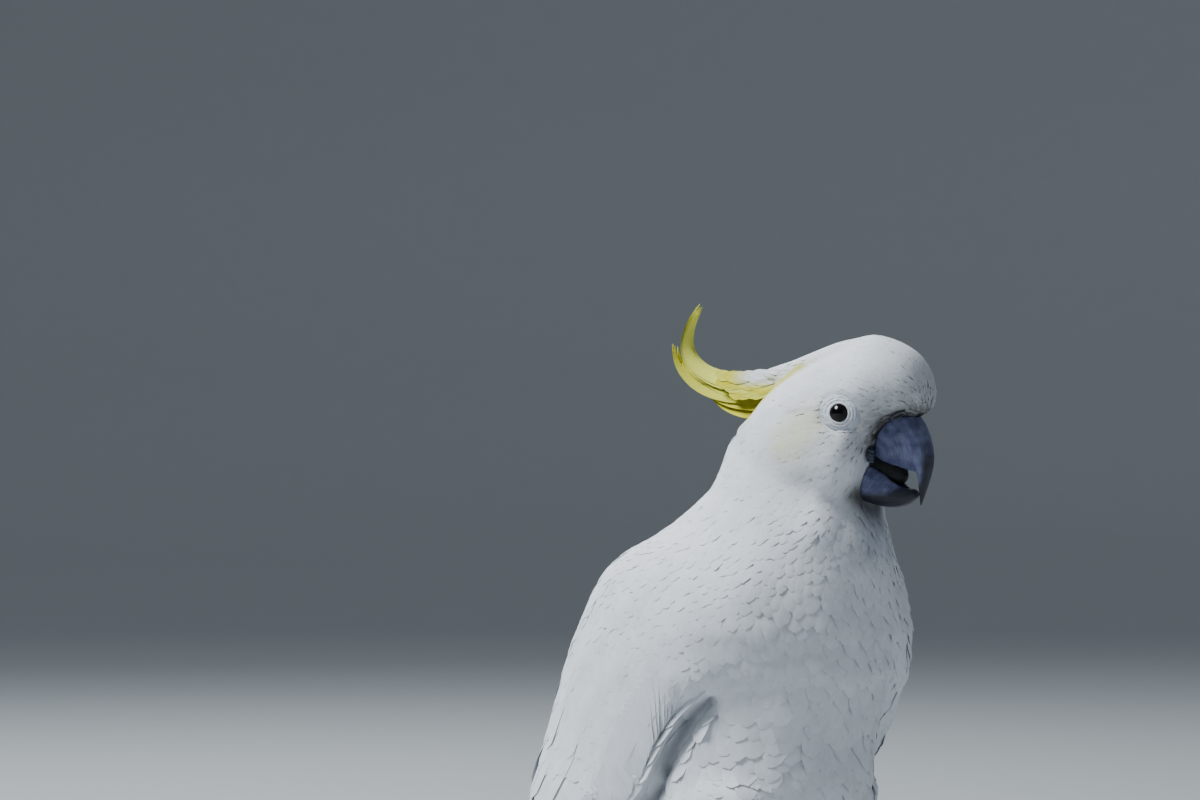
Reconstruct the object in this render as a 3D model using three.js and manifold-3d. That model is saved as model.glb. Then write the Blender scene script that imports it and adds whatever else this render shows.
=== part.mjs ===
// A white cockatoo with a yellow crest, life size, standing upright with its tail resting on the ground.
// Millimetres, +Z up. The bird faces +X and its left side is +Y. The ground is the plane z = 0.
import * as THREE from 'three';
import { LoftGeometry } from 'three/addons/geometries/LoftGeometry.js';
import { mergeVertices } from 'three/addons/utils/BufferGeometryUtils.js';
import Module from 'manifold-3d';

const wasm = await Module();
wasm.setup();

// ---- Driving dimensions ------------------------------------------------------------------------

const GAP = 0.35; // clearance between neighbouring pieces
const GROUND = 0;
const EYE_HEIGHT = 262; // centre of the eye above the ground
const HEAD_AT = new THREE.Vector3(57, 7, EYE_HEIGHT); // middle of the head, level with the eye
const HEAD_TURN = 23; // degrees that the head looks to the bird's left
const NECK_PIVOT_X = 26; // the neck twists about the upright line through this point
const EYE_RADIUS = 5.6;
const EYE_X = 1; // ahead of the middle of the head
const EYE_OUT = 21.3; // centre of the eyeball from the middle plane of the head
const EYE_FORWARD = THREE.MathUtils.degToRad(10); // the eyes look a little forward
const EYE_RING_RADIUS = 7.6; // bare skin round the eye
const EYE_RING_SEAT = 1.7; // its inner side, out from the centre of the eyeball
const STANCE = 27; // half the distance between the feet
const FOOT_X = -4; // hub of the foot, fore and aft
const HUB_HEIGHT = 8.5; // where the toes meet
const HUB_RADIUS = 6.5;
const TOE_PRESS = 1; // the toes are pressed this far onto the ground, which makes their flats
const CLAW_LENGTH = 15;

const WHITE = 0xe9ebf0;
const YELLOW = 0xe6e05a;
const BILL_GREY = 0x3a3f4f;
const SKIN_GREY = 0xd5dbe6;
const FOOT_GREY = 0x55565c;
const BLACK = 0x0d0c0e;

// ---- Solids and meshes -------------------------------------------------------------------------

function solid(geometry) {
  const bare = new THREE.BufferGeometry()
    .setAttribute('position', geometry.attributes.position)
    .setIndex(geometry.index);
  const merged = mergeVertices(bare, 1e-3);
  return new wasm.Manifold(
    new wasm.Mesh({
      numProp: 3,
      vertProperties: merged.attributes.position.array,
      triVerts: new Uint32Array(merged.index.array),
    }),
  );
}

// A cut can leave crumbs beside the piece, so the largest body is the one that is kept.
function shape(made) {
  const largest = made.decompose().sort((a, b) => b.volume() - a.volume())[0];
  const mesh = largest.getMesh();
  const positions = new Float32Array(mesh.numVert * 3);
  for (let i = 0; i < mesh.numVert; i++) {
    positions.set(mesh.vertProperties.subarray(i * mesh.numProp, i * mesh.numProp + 3), i * 3);
  }
  return new THREE.BufferGeometry()
    .setAttribute('position', new THREE.BufferAttribute(positions, 3))
    .setIndex(new THREE.BufferAttribute(mesh.triVerts, 1));
}

function piece(name, made, color, roughness = 0.8) {
  const material = new THREE.MeshStandardMaterial({ color, roughness, metalness: 0 });
  const mesh = new THREE.Mesh(shape(made), material);
  mesh.name = name;
  return mesh;
}

const middleOf = (points) =>
  points.reduce((sum, p) => sum.add(p), new THREE.Vector3()).divideScalar(points.length);

// The rings of a loft have to run anticlockwise as seen from its far end, so they are turned round if
// need be. Points under the lowest level, where one is given, are lifted to it and leave a flat there.
function loft(rings, lowest = -Infinity) {
  const [first, second] = rings;
  const centre = middleOf(first);
  const spokes = first.map((p) => p.clone().sub(centre));
  const axis = spokes.reduce(
    (sum, spoke, i) => sum.add(spoke.clone().cross(spokes[(i + 1) % spokes.length])),
    new THREE.Vector3(),
  );
  const rightWay = axis.dot(middleOf(second).sub(centre)) > 0;
  const ordered = rightWay ? rings : rings.map((ring) => ring.toReversed());
  ordered.flat().forEach((p) => p.setZ(Math.max(p.z, lowest)));
  return new LoftGeometry(ordered, { capStart: true, capEnd: true });
}

const closedLoft = (rings, lowest) => solid(loft(rings, lowest));

// Turned over to the bird's left side, with its faces still outwards.
function mirrored(geometry) {
  geometry.scale(1, -1, 1);
  const index = geometry.index.array;
  for (let i = 0; i < index.length; i += 3) {
    [index[i], index[i + 1]] = [index[i + 1], index[i]];
  }
  return geometry;
}

function lineThrough(stations, pick) {
  const points = stations.map((s) => new THREE.Vector3(...pick(s)));
  return new THREE.CatmullRomCurve3(points, false, 'catmullrom', 0.5);
}

// A smooth run of values through the listed stations: u is the station number, whole or between two.
function smooth(stations, pick) {
  const curve = lineThrough(stations, pick);
  return (u) => curve.getPoint(u / (stations.length - 1));
}

function steps(from, to, count) {
  return Array.from({ length: count + 1 }, (_, i) => from + ((to - from) * i) / count);
}

const rounded = (value, square) => Math.sign(value) * Math.abs(value) ** (2 / square);

// ---- Ribs: ovals between a lower and an upper point of the middle plane -------------------------

// Each rib is { low: [x, z], top: [x, z], half: half-width, square, turn }. Square is 2 for an oval and
// more for a boxier rib, and turn twists it about the upright line through the neck.
function ribbed(ribs) {
  const low = smooth(ribs, (r) => [r.low[0], 0, r.low[1]]);
  const top = smooth(ribs, (r) => [r.top[0], 0, r.top[1]]);
  const girth = smooth(ribs, (r) => [r.half, r.square ?? 2, r.turn ?? 0]);

  // A point of the surface: angle 0 is the low side, 90 the bird's right and 180 the top side.
  function point(u, degrees, grow = 0) {
    const a = low(u);
    const b = top(u);
    const { x: half, y: square, z: turn } = girth(u);
    const middle = a.clone().add(b).multiplyScalar(0.5);
    const reach = a.distanceTo(b) / 2;
    const forward = a.clone().sub(b).normalize();
    const angle = THREE.MathUtils.degToRad(degrees);
    const along = rounded(Math.cos(angle), square) * (reach + grow);
    const across = rounded(Math.sin(angle), square) * (half + grow);
    const p = middle.addScaledVector(forward, along);
    p.y -= across;
    const pivot = new THREE.Vector3(NECK_PIVOT_X, 0, 0);
    return turn ? p.sub(pivot).applyAxisAngle(new THREE.Vector3(0, 0, 1), turn).add(pivot) : p;
  }

  function ring(u, sides, grow) {
    return Array.from({ length: sides }, (_, i) => point(u, (360 * i) / sides, grow));
  }

  function part(from, to, rings, sides, { grow = 0, place = new THREE.Matrix4(), lowest } = {}) {
    const placed = steps(from, to, rings).map((u) => ring(u, sides, grow));
    placed.flat().forEach((p) => p.applyMatrix4(place));
    return closedLoft(placed, lowest);
  }

  return { point, part };
}

// ---- Limbs: round or oval sections along a line in space ----------------------------------------

// Each station is { at: [x, y, z], deep, wide }: half its size in the bird's middle plane and across it.
// With sideDown, a side of each section faces down instead of a corner.
function limb(stations, rings, sides, { grow = 0, lowest, sideDown = false } = {}) {
  const line = lineThrough(stations, (s) => s.at);
  const size = smooth(stations, (s) => [s.deep, s.wide, 0]);
  const last = stations.length - 1;
  const sections = steps(0, last, rings).map((u) => {
    const centre = line.getPoint(u / last);
    const along = line.getTangent(u / last);
    const across = new THREE.Vector3(0, 1, 0).addScaledVector(along, -along.y).normalize();
    const up = across.clone().cross(along);
    const { x: deep, y: wide } = size(u);
    return Array.from({ length: sides }, (_, i) => {
      const angle = (2 * Math.PI * (sideDown ? i + 0.5 : i)) / sides;
      return centre
        .clone()
        .addScaledVector(up, Math.cos(angle) * (deep + grow))
        .addScaledVector(across, Math.sin(angle) * (wide + grow));
    });
  });
  return closedLoft(sections, lowest);
}

// ---- Neck, trunk and tail: one run of ribs, parted by thin cuts ---------------------------------

const TURN = THREE.MathUtils.degToRad(HEAD_TURN);
const body = ribbed([
  { low: [58, 244], top: [15, 257], half: 22, turn: TURN },
  { low: [61, 234], top: [-2, 249], half: 29, turn: TURN * 0.85 },
  { low: [65, 218], top: [-10, 231], half: 34.5, turn: TURN * 0.5 },
  { low: [69, 205], top: [-31, 216], half: 41.5, turn: TURN * 0.2 },
  { low: [70.5, 186], top: [-59, 200], half: 50.5, square: 2.1 },
  { low: [67, 157], top: [-73, 175], half: 51.5, square: 2.2 },
  { low: [57, 124], top: [-84, 149], half: 51, square: 2.2 },
  { low: [52, 92], top: [-97, 123], half: 50, square: 2.2 },
  { low: [29, 67], top: [-108, 99], half: 50, square: 2.2 },
  { low: [-26, 53], top: [-118, 84], half: 41, square: 2.1 },
  { low: [-80, 42], top: [-130, 70], half: 31 },
  { low: [-132, 34], top: [-154, 54], half: 26 },
  { low: [-206, 15], top: [-209, 24], half: 29 },
  { low: [-272, -1], top: [-273, 5.5], half: 34 },
  { low: [-286, -1.5], top: [-287, 1.5], half: 24 },
]);
const NECK_BASE = 3.1; // rib numbers where the parts meet
const TAIL_BASE = 10.6;
const TAIL_TIP = 14;
const CUT = 0.012; // in ribs: a gap of about GAP
const BODY_SIDES = 22;

const neckSolid = () => body.part(0, NECK_BASE - CUT * 1.5, 6, BODY_SIDES);
const trunkSolid = (grow) => body.part(NECK_BASE, TAIL_BASE, 15, BODY_SIDES, { grow });
const tailSolid = () => body.part(TAIL_BASE + CUT, TAIL_TIP, 8, BODY_SIDES, { lowest: GROUND });

// ---- Wings: shells that hug the trunk, from a leading edge to a trailing edge -------------------

const WING_START = 3.38;
const WING_TIP = 12.4;
// From the shoulder to the tip: where the wing's lower and upper edges lie round the trunk, in degrees.
// The left wing is held a little further forward than the right one.
const wingStations = [
  { right: 66, left: 50, rear: 134, thick: 2.5 },
  { right: 40, left: 34, rear: 152, thick: 8 },
  { right: 58, left: 34, rear: 162, thick: 10 },
  { right: 78, left: 44, rear: 168, thick: 10 },
  { right: 82, left: 66, rear: 172, thick: 9.5 },
  { right: 87, left: 82, rear: 174, thick: 8.5 },
  { right: 95, left: 94, rear: 175, thick: 7 },
  { right: 101, left: 101, rear: 175, thick: 5 },
  { right: 100, left: 100, rear: 172, thick: 3.6 },
  { right: 104, left: 104, rear: 160, thick: 2.4 },
  { right: 118, left: 118, rear: 142, thick: 1 },
];
const wingEdges = {
  right: smooth(wingStations, (s) => [s.right, s.rear, s.thick]),
  left: smooth(wingStations, (s) => [s.left, s.rear, s.thick]),
};
const COVERT_END = 7.1;
const SECONDARY_END = 9.6;
const WING_ACROSS = 8; // faces across the wing's outer side
const INNER_ACROSS = 4; // and across its hidden side
const EDGE_THICK = 0.8;
const WING_SEAT = 3; // how deep the wing is let into the trunk
const DEGREES_PER_MM = 1.2; // about what a millimetre along the trunk's surface spans round its middle

function wingSection(side, u, grow) {
  const station = ((u - WING_START) / (WING_TIP - WING_START)) * (wingStations.length - 1);
  const { x, y, z: thick } = wingEdges[side](THREE.MathUtils.clamp(station, 0, wingStations.length - 1));
  const fore = x - grow * DEGREES_PER_MM;
  const rear = y + grow * DEGREES_PER_MM;
  // Places across the wing, from -1 at its lower edge to 1 at its upper one.
  const places = steps(0, Math.PI, WING_ACROSS).map((angle) => -Math.cos(angle));
  const around = places.map((place) => fore + ((rear - fore) * (place + 1)) / 2);
  const outer = places.map((place, i) => {
    const fullness = place < 0 ? Math.sqrt(1 - place ** 4) : 1 - place ** 4;
    return body.point(u, around[i], GAP + EDGE_THICK + thick * fullness + grow);
  });
  const inner = steps(rear, fore, INNER_ACROSS).map((angle) => body.point(u, angle, -WING_SEAT - grow));
  return [...outer, ...inner];
}

const wingParts = [
  { name: 'wing_coverts', from: WING_START, to: COVERT_END, rings: 9 },
  { name: 'wing_secondaries', from: COVERT_END + CUT, to: SECONDARY_END, rings: 5 },
  { name: 'wing_primaries', from: SECONDARY_END + CUT, to: WING_TIP, rings: 6 },
];

function wingRings(side, { from, to, rings }, grow = 0) {
  return steps(from, to, rings).map((u) => wingSection(side, u, grow));
}

// The room that a whole wing takes out of the trunk, neck, tail and thigh, with its clearance.
function wingRoom(side) {
  const start = { from: WING_START - CUT, to: WING_START, rings: 1 };
  const end = { from: WING_TIP, to: WING_TIP + CUT, rings: 1 };
  const runs = [start, ...wingParts, end].map((part) => wingRings(side, part, GAP));
  return runs.flatMap((rings, i) => (i === 0 ? rings : rings.slice(1)));
}

const bothWings = closedLoft(wingRoom('right')).add(solid(mirrored(loft(wingRoom('left')))));

// ---- Head, in its own frame: level with the eye, x forward ---------------------------------------

const headRibs = ribbed([
  { low: [33, 3.5], top: [33, 11.5], half: 5 },
  { low: [31, 0], top: [30.6, 18.5], half: 12 },
  { low: [27, -1.5], top: [26, 25.2], half: 17.5, square: 2.1 },
  { low: [20, -3.5], top: [17.5, 30.4], half: 21.5, square: 2.1 },
  { low: [10.5, -13], top: [8.5, 33.2], half: 24, square: 2.1 },
  { low: [4.5, -36], top: [1, 31.8], half: 25.6, square: 2.1 },
  { low: [-4, -46], top: [-7, 28.5], half: 27, square: 2.1 },
  { low: [-16, -50], top: [-17, 23], half: 28, square: 2.1 },
  { low: [-30, -48], top: [-29, 16.5], half: 27 },
  { low: [-43, -40], top: [-41, 7], half: 22 },
  { low: [-51, -28], top: [-50, -6], half: 12 },
]);
const HEAD_REAR = 10;
const headSolid = (grow, place) => headRibs.part(0, HEAD_REAR, 14, 20, { grow, place });

// ---- Bill ----------------------------------------------------------------------------------------

const upperBillRibs = ribbed([
  { low: [7, -16.5], top: [23, 4], half: 10.5, square: 2.3 },
  { low: [12, -17.5], top: [28, -1.5], half: 10.3, square: 2.3 },
  { low: [17.5, -18.6], top: [31.4, -8], half: 9.3, square: 2.3 },
  { low: [23, -21.5], top: [33.4, -15], half: 7.6, square: 2.2 },
  { low: [26.8, -24.4], top: [33.7, -20.5], half: 6, square: 2.2 },
  { low: [27.7, -28], top: [32.8, -26.3], half: 4.4 },
  { low: [28, -32], top: [31.2, -31.6], half: 2.9 },
  { low: [28.2, -36], top: [29.7, -36], half: 1.5 },
  { low: [28.3, -38.8], top: [28.8, -38.8], half: 0.35 },
]);
const upperBillSolid = (grow) => upperBillRibs.part(0, 8, 11, 14, { grow });

const lowerBillRibs = ribbed([
  { low: [-3, -35], top: [3, -18], half: 10.2, square: 2.3 },
  { low: [5, -38], top: [9, -20], half: 10.2, square: 2.3 },
  { low: [12, -39.6], top: [14, -23.2], half: 9.6, square: 2.3 },
  { low: [18, -39.9], top: [18, -27.3], half: 8.4, square: 2.2 },
  { low: [22.4, -38.9], top: [22, -30.9], half: 6.8, square: 2.2 },
  { low: [25.2, -37.2], top: [24.8, -31.6], half: 4.9 },
  { low: [26.9, -35.6], top: [26.8, -32.8], half: 2.8 },
]);
const lowerBillSolid = (grow, place) => lowerBillRibs.part(0, 6, 8, 14, { grow, place });

// The trough between the lower bill's cutting edges, open above, where the tongue lies.
const troughStations = [
  { at: [-6, 0, -22], deep: 9, wide: 7.4 },
  { at: [6, 0, -22], deep: 9, wide: 7.4 },
  { at: [15, 0, -26], deep: 7, wide: 6.4 },
  { at: [21, 0, -29.5], deep: 4.5, wide: 4.4 },
  { at: [25, 0, -30.6], deep: 1.6, wide: 2.4 },
];
const tongueStations = [
  { at: [4, 0, -23.6], deep: 5.4, wide: 6.6 },
  { at: [12, 0, -24.4], deep: 5.2, wide: 6 },
  { at: [17, 0, -25.2], deep: 5, wide: 5 },
  { at: [20.5, 0, -26.6], deep: 4, wide: 3.8 },
  { at: [22.6, 0, -27.6], deep: 1.6, wide: 1.6 },
];

// ---- Crest: a white cap of forehead plumes over fanned yellow plumes with upturned tips ----------

const capStations = [
  { at: [10, 0, 30.6], deep: 1, wide: 4 },
  { at: [0, 0, 29.4], deep: 2.2, wide: 10 },
  { at: [-12, 0, 24.8], deep: 3.2, wide: 12.5 },
  { at: [-26, 0, 19.6], deep: 3.2, wide: 10.5 },
  { at: [-40, 0, 15.4], deep: 2.6, wide: 7 },
  { at: [-51, 0, 14.6], deep: 1.2, wide: 2.6 },
];
const capSolid = (grow) => limb(capStations, 8, 12, { grow });

// Each plume is a curve in a plane beside the middle one: x and z of its root, two handles and its tip.
const plumes = [
  { root: [-14, 18], handles: [[-50, 7.5], [-92.5, 11]], tip: [-73.4, 47.5], deep: 5.2, side: 1.4 },
  { root: [-16, 16], handles: [[-48, 5], [-80, 7]], tip: [-84.5, 28.5], deep: 4.6, side: -1.4 },
  { root: [-18, 13.5], handles: [[-44, 2], [-70, 5]], tip: [-83.5, 20], deep: 4.4, side: 4.2 },
  { root: [-20, 10], handles: [[-42, 0], [-60, -1]], tip: [-75, 10], deep: 3.8, side: -4.2 },
  { root: [-22, 6], handles: [[-40, -4], [-50, -4]], tip: [-64, 3.5], deep: 3.6, side: 7 },
  { root: [-24, 2], handles: [[-36, -6], [-46, -8]], tip: [-55, -3], deep: 3.2, side: -7 },
];
const PLUME_HALF_THICK = 1;
const PLUME_STEPS = 9;
const PLUME_CLOSING = 0.35; // the plumes close up towards their tips by this share

function plumeSolid({ root, handles, tip, deep, side }) {
  const points = [root, ...handles, tip].map(([x, z]) => new THREE.Vector3(x, 0, z));
  const curve = new THREE.CubicBezierCurve3(...points);
  const stations = steps(0, 1, PLUME_STEPS).map((share) => {
    const { x, z } = curve.getPointAt(share);
    const taper = Math.min(1, 0.35 + share * 2.2) * Math.sqrt(Math.max(0.012, 1 - share ** 2.6));
    return {
      at: [x, side * (1 - PLUME_CLOSING * share), z],
      deep: deep * taper,
      wide: PLUME_HALF_THICK * (0.45 + 0.55 * taper),
    };
  });
  return limb(stations, PLUME_STEPS, 6);
}

// ---- Legs and feet, right side --------------------------------------------------------------------

const thighStations = [
  { at: [5, -20, 130], deep: 20, wide: 9 },
  { at: [8, -26, 112], deep: 27, wide: 15 },
  { at: [10, -31, 95], deep: 32, wide: 18.5 },
  { at: [1, -32, 73], deep: 26, wide: 19 },
  { at: [-9, -29, 52], deep: 14.5, wide: 12.5 },
  { at: [-15, -28, 38], deep: 7, wide: 7 },
  { at: [-16, -28, 33], deep: 3, wide: 3 },
];
const tarsusStations = [
  { at: [-16, -28, 44], deep: 4.6, wide: 4.2 },
  { at: [-14.5, -28, 34], deep: 4.8, wide: 4.4 },
  { at: [-10, -27.5, 22], deep: 4.6, wide: 4.6 },
  { at: [FOOT_X - 1, -STANCE, 10], deep: 5.8, wide: 5.8 },
];
const thighSolid = (grow) => limb(thighStations, 10, 13, { grow });

// Two toes point forwards and two back, as in all parrots; heading 0 is forward, positive outwards.
const toes = [
  { number: 1, heading: 156, length: 22, thick: 4.2 },
  { number: 2, heading: -12, length: 31, thick: 4.6 },
  { number: 3, heading: 15, length: 42, thick: 4.8 },
  { number: 4, heading: 208, length: 38, thick: 4.5 },
];

function onFoot(heading, distance, z) {
  const angle = THREE.MathUtils.degToRad(heading);
  return [FOOT_X + Math.cos(angle) * distance, -STANCE - Math.sin(angle) * distance, z];
}

function toeSolid({ heading, length, thick }, grow) {
  const joints = Math.round(length / 14);
  const stations = steps(0, 1, joints * 2).map((share, i) => {
    const pad = i % 2 === 1 ? 0.45 : -0.35; // pads swell between the joints
    const radius = thick * (1 - 0.22 * share) + pad;
    const height = i === 0 ? HUB_HEIGHT : radius - TOE_PRESS;
    return { at: onFoot(heading, (length + grow) * share, height), deep: radius, wide: radius };
  });
  return limb(stations, joints * 2, 6, { grow, lowest: GROUND, sideDown: true });
}

function footSolid(grow = 0) {
  const hub = new THREE.SphereGeometry(HUB_RADIUS + grow, 8, 5);
  hub.translate(FOOT_X, -STANCE, HUB_RADIUS + 0.5);
  const toesAndHub = toes.reduce((foot, toe) => foot.add(toeSolid(toe, grow)), solid(hub));
  return toesAndHub.add(limb(tarsusStations, 4, 8, { grow }));
}

function clawSolid({ heading, length, thick }) {
  const radius = thick * 0.5;
  return limb(
    [
      { at: onFoot(heading, length - 1, 5.2), deep: radius, wide: radius * 0.8 },
      { at: onFoot(heading, length + CLAW_LENGTH * 0.3, 6.4), deep: radius, wide: radius * 0.8 },
      { at: onFoot(heading, length + CLAW_LENGTH * 0.62, 4.6), deep: radius * 0.7, wide: radius * 0.55 },
      { at: onFoot(heading, length + CLAW_LENGTH * 0.8, 0.7), deep: 0.4, wide: 0.35 },
    ],
    3,
    6,
  );
}

// ---- Assembly -------------------------------------------------------------------------------------

// An eye looks out and a little forward: side is -1 for the right one and 1 for the left one. Its pieces
// are turned about a line from the centre of the eyeball.
function atEye(side, geometry) {
  const facing = side < 0 ? geometry.rotateX(Math.PI) : geometry;
  return solid(facing.rotateZ(-side * EYE_FORWARD).translate(EYE_X, side * EYE_OUT, 0));
}

// Each profile point is [distance from that line, distance along it].
function turned(side, profile) {
  const points = profile.map(([radius, out]) => new THREE.Vector2(radius, out));
  return atEye(side, new THREE.LatheGeometry(points, 12));
}

const eyeSolid = (side) => atEye(side, new THREE.SphereGeometry(EYE_RADIUS, 12, 7));

// The bare ring is a flat funnel round the eyeball.
const eyeRingSolid = (side) =>
  turned(side, [
    [besideEye(EYE_RING_SEAT), EYE_RING_SEAT],
    [EYE_RING_RADIUS - 0.5, EYE_RING_SEAT],
    [EYE_RING_RADIUS, EYE_RING_SEAT + 1.6],
    [EYE_RING_RADIUS - 1.6, EYE_RING_SEAT + 2.7],
    [besideEye(EYE_RING_SEAT + 3) + 0.2, EYE_RING_SEAT + 3],
    [besideEye(EYE_RING_SEAT + 1.6), EYE_RING_SEAT + 1.6],
    [besideEye(EYE_RING_SEAT), EYE_RING_SEAT],
  ]);

// The radius of the eyeball, with its clearance, this far out from its centre.
function besideEye(out) {
  return Math.sqrt((EYE_RADIUS + GAP) ** 2 - out ** 2) + 0.1;
}

const socketSolid = (side) =>
  turned(side, [
    [0, -EYE_RADIUS - GAP],
    [EYE_RADIUS + GAP, -EYE_RADIUS - GAP],
    [EYE_RADIUS + GAP, EYE_RING_SEAT - GAP],
    [EYE_RING_RADIUS + GAP, EYE_RING_SEAT - GAP],
    [EYE_RING_RADIUS + GAP, EYE_RING_SEAT + 8],
    [0, EYE_RING_SEAT + 8],
  ]);

function makeHead() {
  const head = new THREE.Group();
  const skull = headSolid().subtract(socketSolid(-1)).subtract(socketSolid(1));
  const clear = (made) => made.subtract(headSolid(GAP));
  const trough = limb(troughStations, 7, 10);
  const lowerBill = lowerBillSolid().subtract(trough).subtract(upperBillSolid(GAP));
  head.add(
    piece('head', skull, WHITE),
    piece('bill_upper', clear(upperBillSolid()), BILL_GREY, 0.45),
    piece('bill_lower', clear(lowerBill), BILL_GREY, 0.45),
    piece('tongue', clear(limb(tongueStations, 6, 10)).subtract(upperBillSolid(GAP)), BLACK, 0.5),
    piece('crest_cap', clear(capSolid()), WHITE),
    piece('right_eye', eyeSolid(-1), BLACK, 0.1),
    piece('left_eye', eyeSolid(1), BLACK, 0.1),
    piece('right_eye_ring', eyeRingSolid(-1), SKIN_GREY, 0.6),
    piece('left_eye_ring', eyeRingSolid(1), SKIN_GREY, 0.6),
  );
  plumes.forEach((plume, i) => {
    head.add(piece(`crest_plume_${i + 1}`, clear(plumeSolid(plume)).subtract(capSolid(GAP)), YELLOW));
  });
  head.position.copy(HEAD_AT);
  head.rotation.z = TURN;
  return head;
}

function makeBody() {
  const bodyRun = new THREE.Group();
  const headPlace = new THREE.Matrix4().makeRotationZ(TURN).setPosition(HEAD_AT);
  const headRoom = headSolid(GAP, headPlace).add(lowerBillSolid(GAP, headPlace));
  bodyRun.add(
    piece('neck', neckSolid().subtract(headRoom).subtract(bothWings), WHITE),
    piece('trunk', trunkSolid().subtract(bothWings), WHITE),
    piece('tail', tailSolid().subtract(bothWings), WHITE),
  );
  return bodyRun;
}

// A wing and a leg are drawn on the right side, and the group turns the left ones over.
function makeSide(side) {
  const half = new THREE.Group();
  half.scale.y = side === 'left' ? -1 : 1;
  for (const part of wingParts) {
    half.add(piece(`${side}_${part.name}`, closedLoft(wingRings(side, part)), WHITE));
  }
  const thigh = thighSolid().subtract(trunkSolid(GAP)).subtract(closedLoft(wingRoom(side)));
  half.add(
    piece(`${side}_thigh`, thigh, WHITE),
    piece(`${side}_foot`, footSolid().subtract(thighSolid(GAP)), FOOT_GREY),
  );
  for (const toe of toes) {
    half.add(piece(`${side}_claw_${toe.number}`, clawSolid(toe).subtract(footSolid(GAP)), BLACK, 0.4));
  }
  return half;
}

const cockatoo = new THREE.Group();
cockatoo.add(makeHead(), makeBody(), makeSide('right'), makeSide('left'));

// The origin is on the ground, under the middle of the whole bird's box.
const bounds = new THREE.Box3().setFromObject(cockatoo, true);
const centre = bounds.getCenter(new THREE.Vector3());
cockatoo.position.set(-centre.x, -centre.y, -bounds.min.z);

export default cockatoo;
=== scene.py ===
"""A life-size white cockatoo with a yellow crest: skin, feathers, bill, eyes and feet over its solid frame."""

import math

import bmesh
import bpy
import numpy as np
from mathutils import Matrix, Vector, noise
from mathutils.bvhtree import BVHTree
from mathutils.kdtree import KDTree


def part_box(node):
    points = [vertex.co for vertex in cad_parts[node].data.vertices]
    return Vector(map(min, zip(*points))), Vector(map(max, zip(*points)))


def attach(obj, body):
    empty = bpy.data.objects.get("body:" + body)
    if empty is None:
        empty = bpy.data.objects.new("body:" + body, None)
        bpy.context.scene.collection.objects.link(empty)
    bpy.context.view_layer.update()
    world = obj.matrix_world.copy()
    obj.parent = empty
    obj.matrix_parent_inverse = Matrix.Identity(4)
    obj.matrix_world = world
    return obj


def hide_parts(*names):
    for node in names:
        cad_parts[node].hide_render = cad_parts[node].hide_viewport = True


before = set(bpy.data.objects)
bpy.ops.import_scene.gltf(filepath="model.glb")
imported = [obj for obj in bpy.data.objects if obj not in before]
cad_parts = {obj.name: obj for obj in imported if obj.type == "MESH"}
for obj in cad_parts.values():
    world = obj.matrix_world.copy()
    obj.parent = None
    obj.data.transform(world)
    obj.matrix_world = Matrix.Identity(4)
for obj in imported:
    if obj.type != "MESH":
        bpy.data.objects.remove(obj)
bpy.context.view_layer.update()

MM = 0.001
UP = Vector((0, 0, 1))
SIDES = {"right": -1, "left": 1}

# ---- Sums over many points at once ----------------------------------------------------------------


def unit(vectors):
    return vectors / np.maximum(np.linalg.norm(vectors, axis=-1, keepdims=True), 1e-12)


def dot(a, b):
    return (a * b).sum(axis=-1, keepdims=True)


def rising(values, low, high):
    """0 up to low, 1 from high, and a soft rise between."""
    share = np.clip((values - low) / (high - low), 0, 1)
    return share * share * (3 - 2 * share)


def bell(distance, radius):
    """1 at no distance, falling softly to 0 past the radius."""
    return np.exp(-((distance / radius) ** 2))


def near(points, line, radius):
    """1 on the line through these places, falling softly to 0 past that many millimetres."""
    line = np.array(line)
    closest = np.full(len(points), 1e9)
    for start, end in zip(line, line[1:]):
        run = end - start
        share = np.clip((points - start) @ run / max(run @ run, 1e-12), 0, 1)
        closest = np.minimum(closest, np.linalg.norm(points - start - share[:, None] * run, axis=1))
    return bell(closest, radius * MM)


def mixed(colours, other, share):
    share = np.clip(share, 0, 1)[:, None]
    return colours * (1 - share) + other * share


# ---- The head's own frame -------------------------------------------------------------------------


def centre_of(node):
    low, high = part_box(node)
    return (low + high) / 2


EYE_X = 1  # the eyes are this far ahead of the middle of the head
EYE_RADIUS = 5.6
EYE_MIDDLE = {side: centre_of(f"{side}_eye") for side in SIDES}
HEAD_LEFT = (EYE_MIDDLE["left"] - EYE_MIDDLE["right"]).normalized()
HEAD_AHEAD = HEAD_LEFT.cross(UP)
HEAD_MIDDLE = (EYE_MIDDLE["left"] + EYE_MIDDLE["right"]) / 2 - HEAD_AHEAD * EYE_X * MM


def turn_with_head(x, y, z):
    return HEAD_AHEAD * x + HEAD_LEFT * y + UP * z


def on_head(x, y, z):
    """A place in the head's frame: millimetres ahead of its middle, to its left and up."""
    return HEAD_MIDDLE + turn_with_head(x, y, z) * MM


def in_head(points):
    """The other way round: how many millimetres each point is ahead, to the left and up."""
    return np.array((HEAD_AHEAD, HEAD_LEFT, UP)) @ (points - np.array(HEAD_MIDDLE)).T / MM


# ---- How the coat changes over the bird -----------------------------------------------------------

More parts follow.
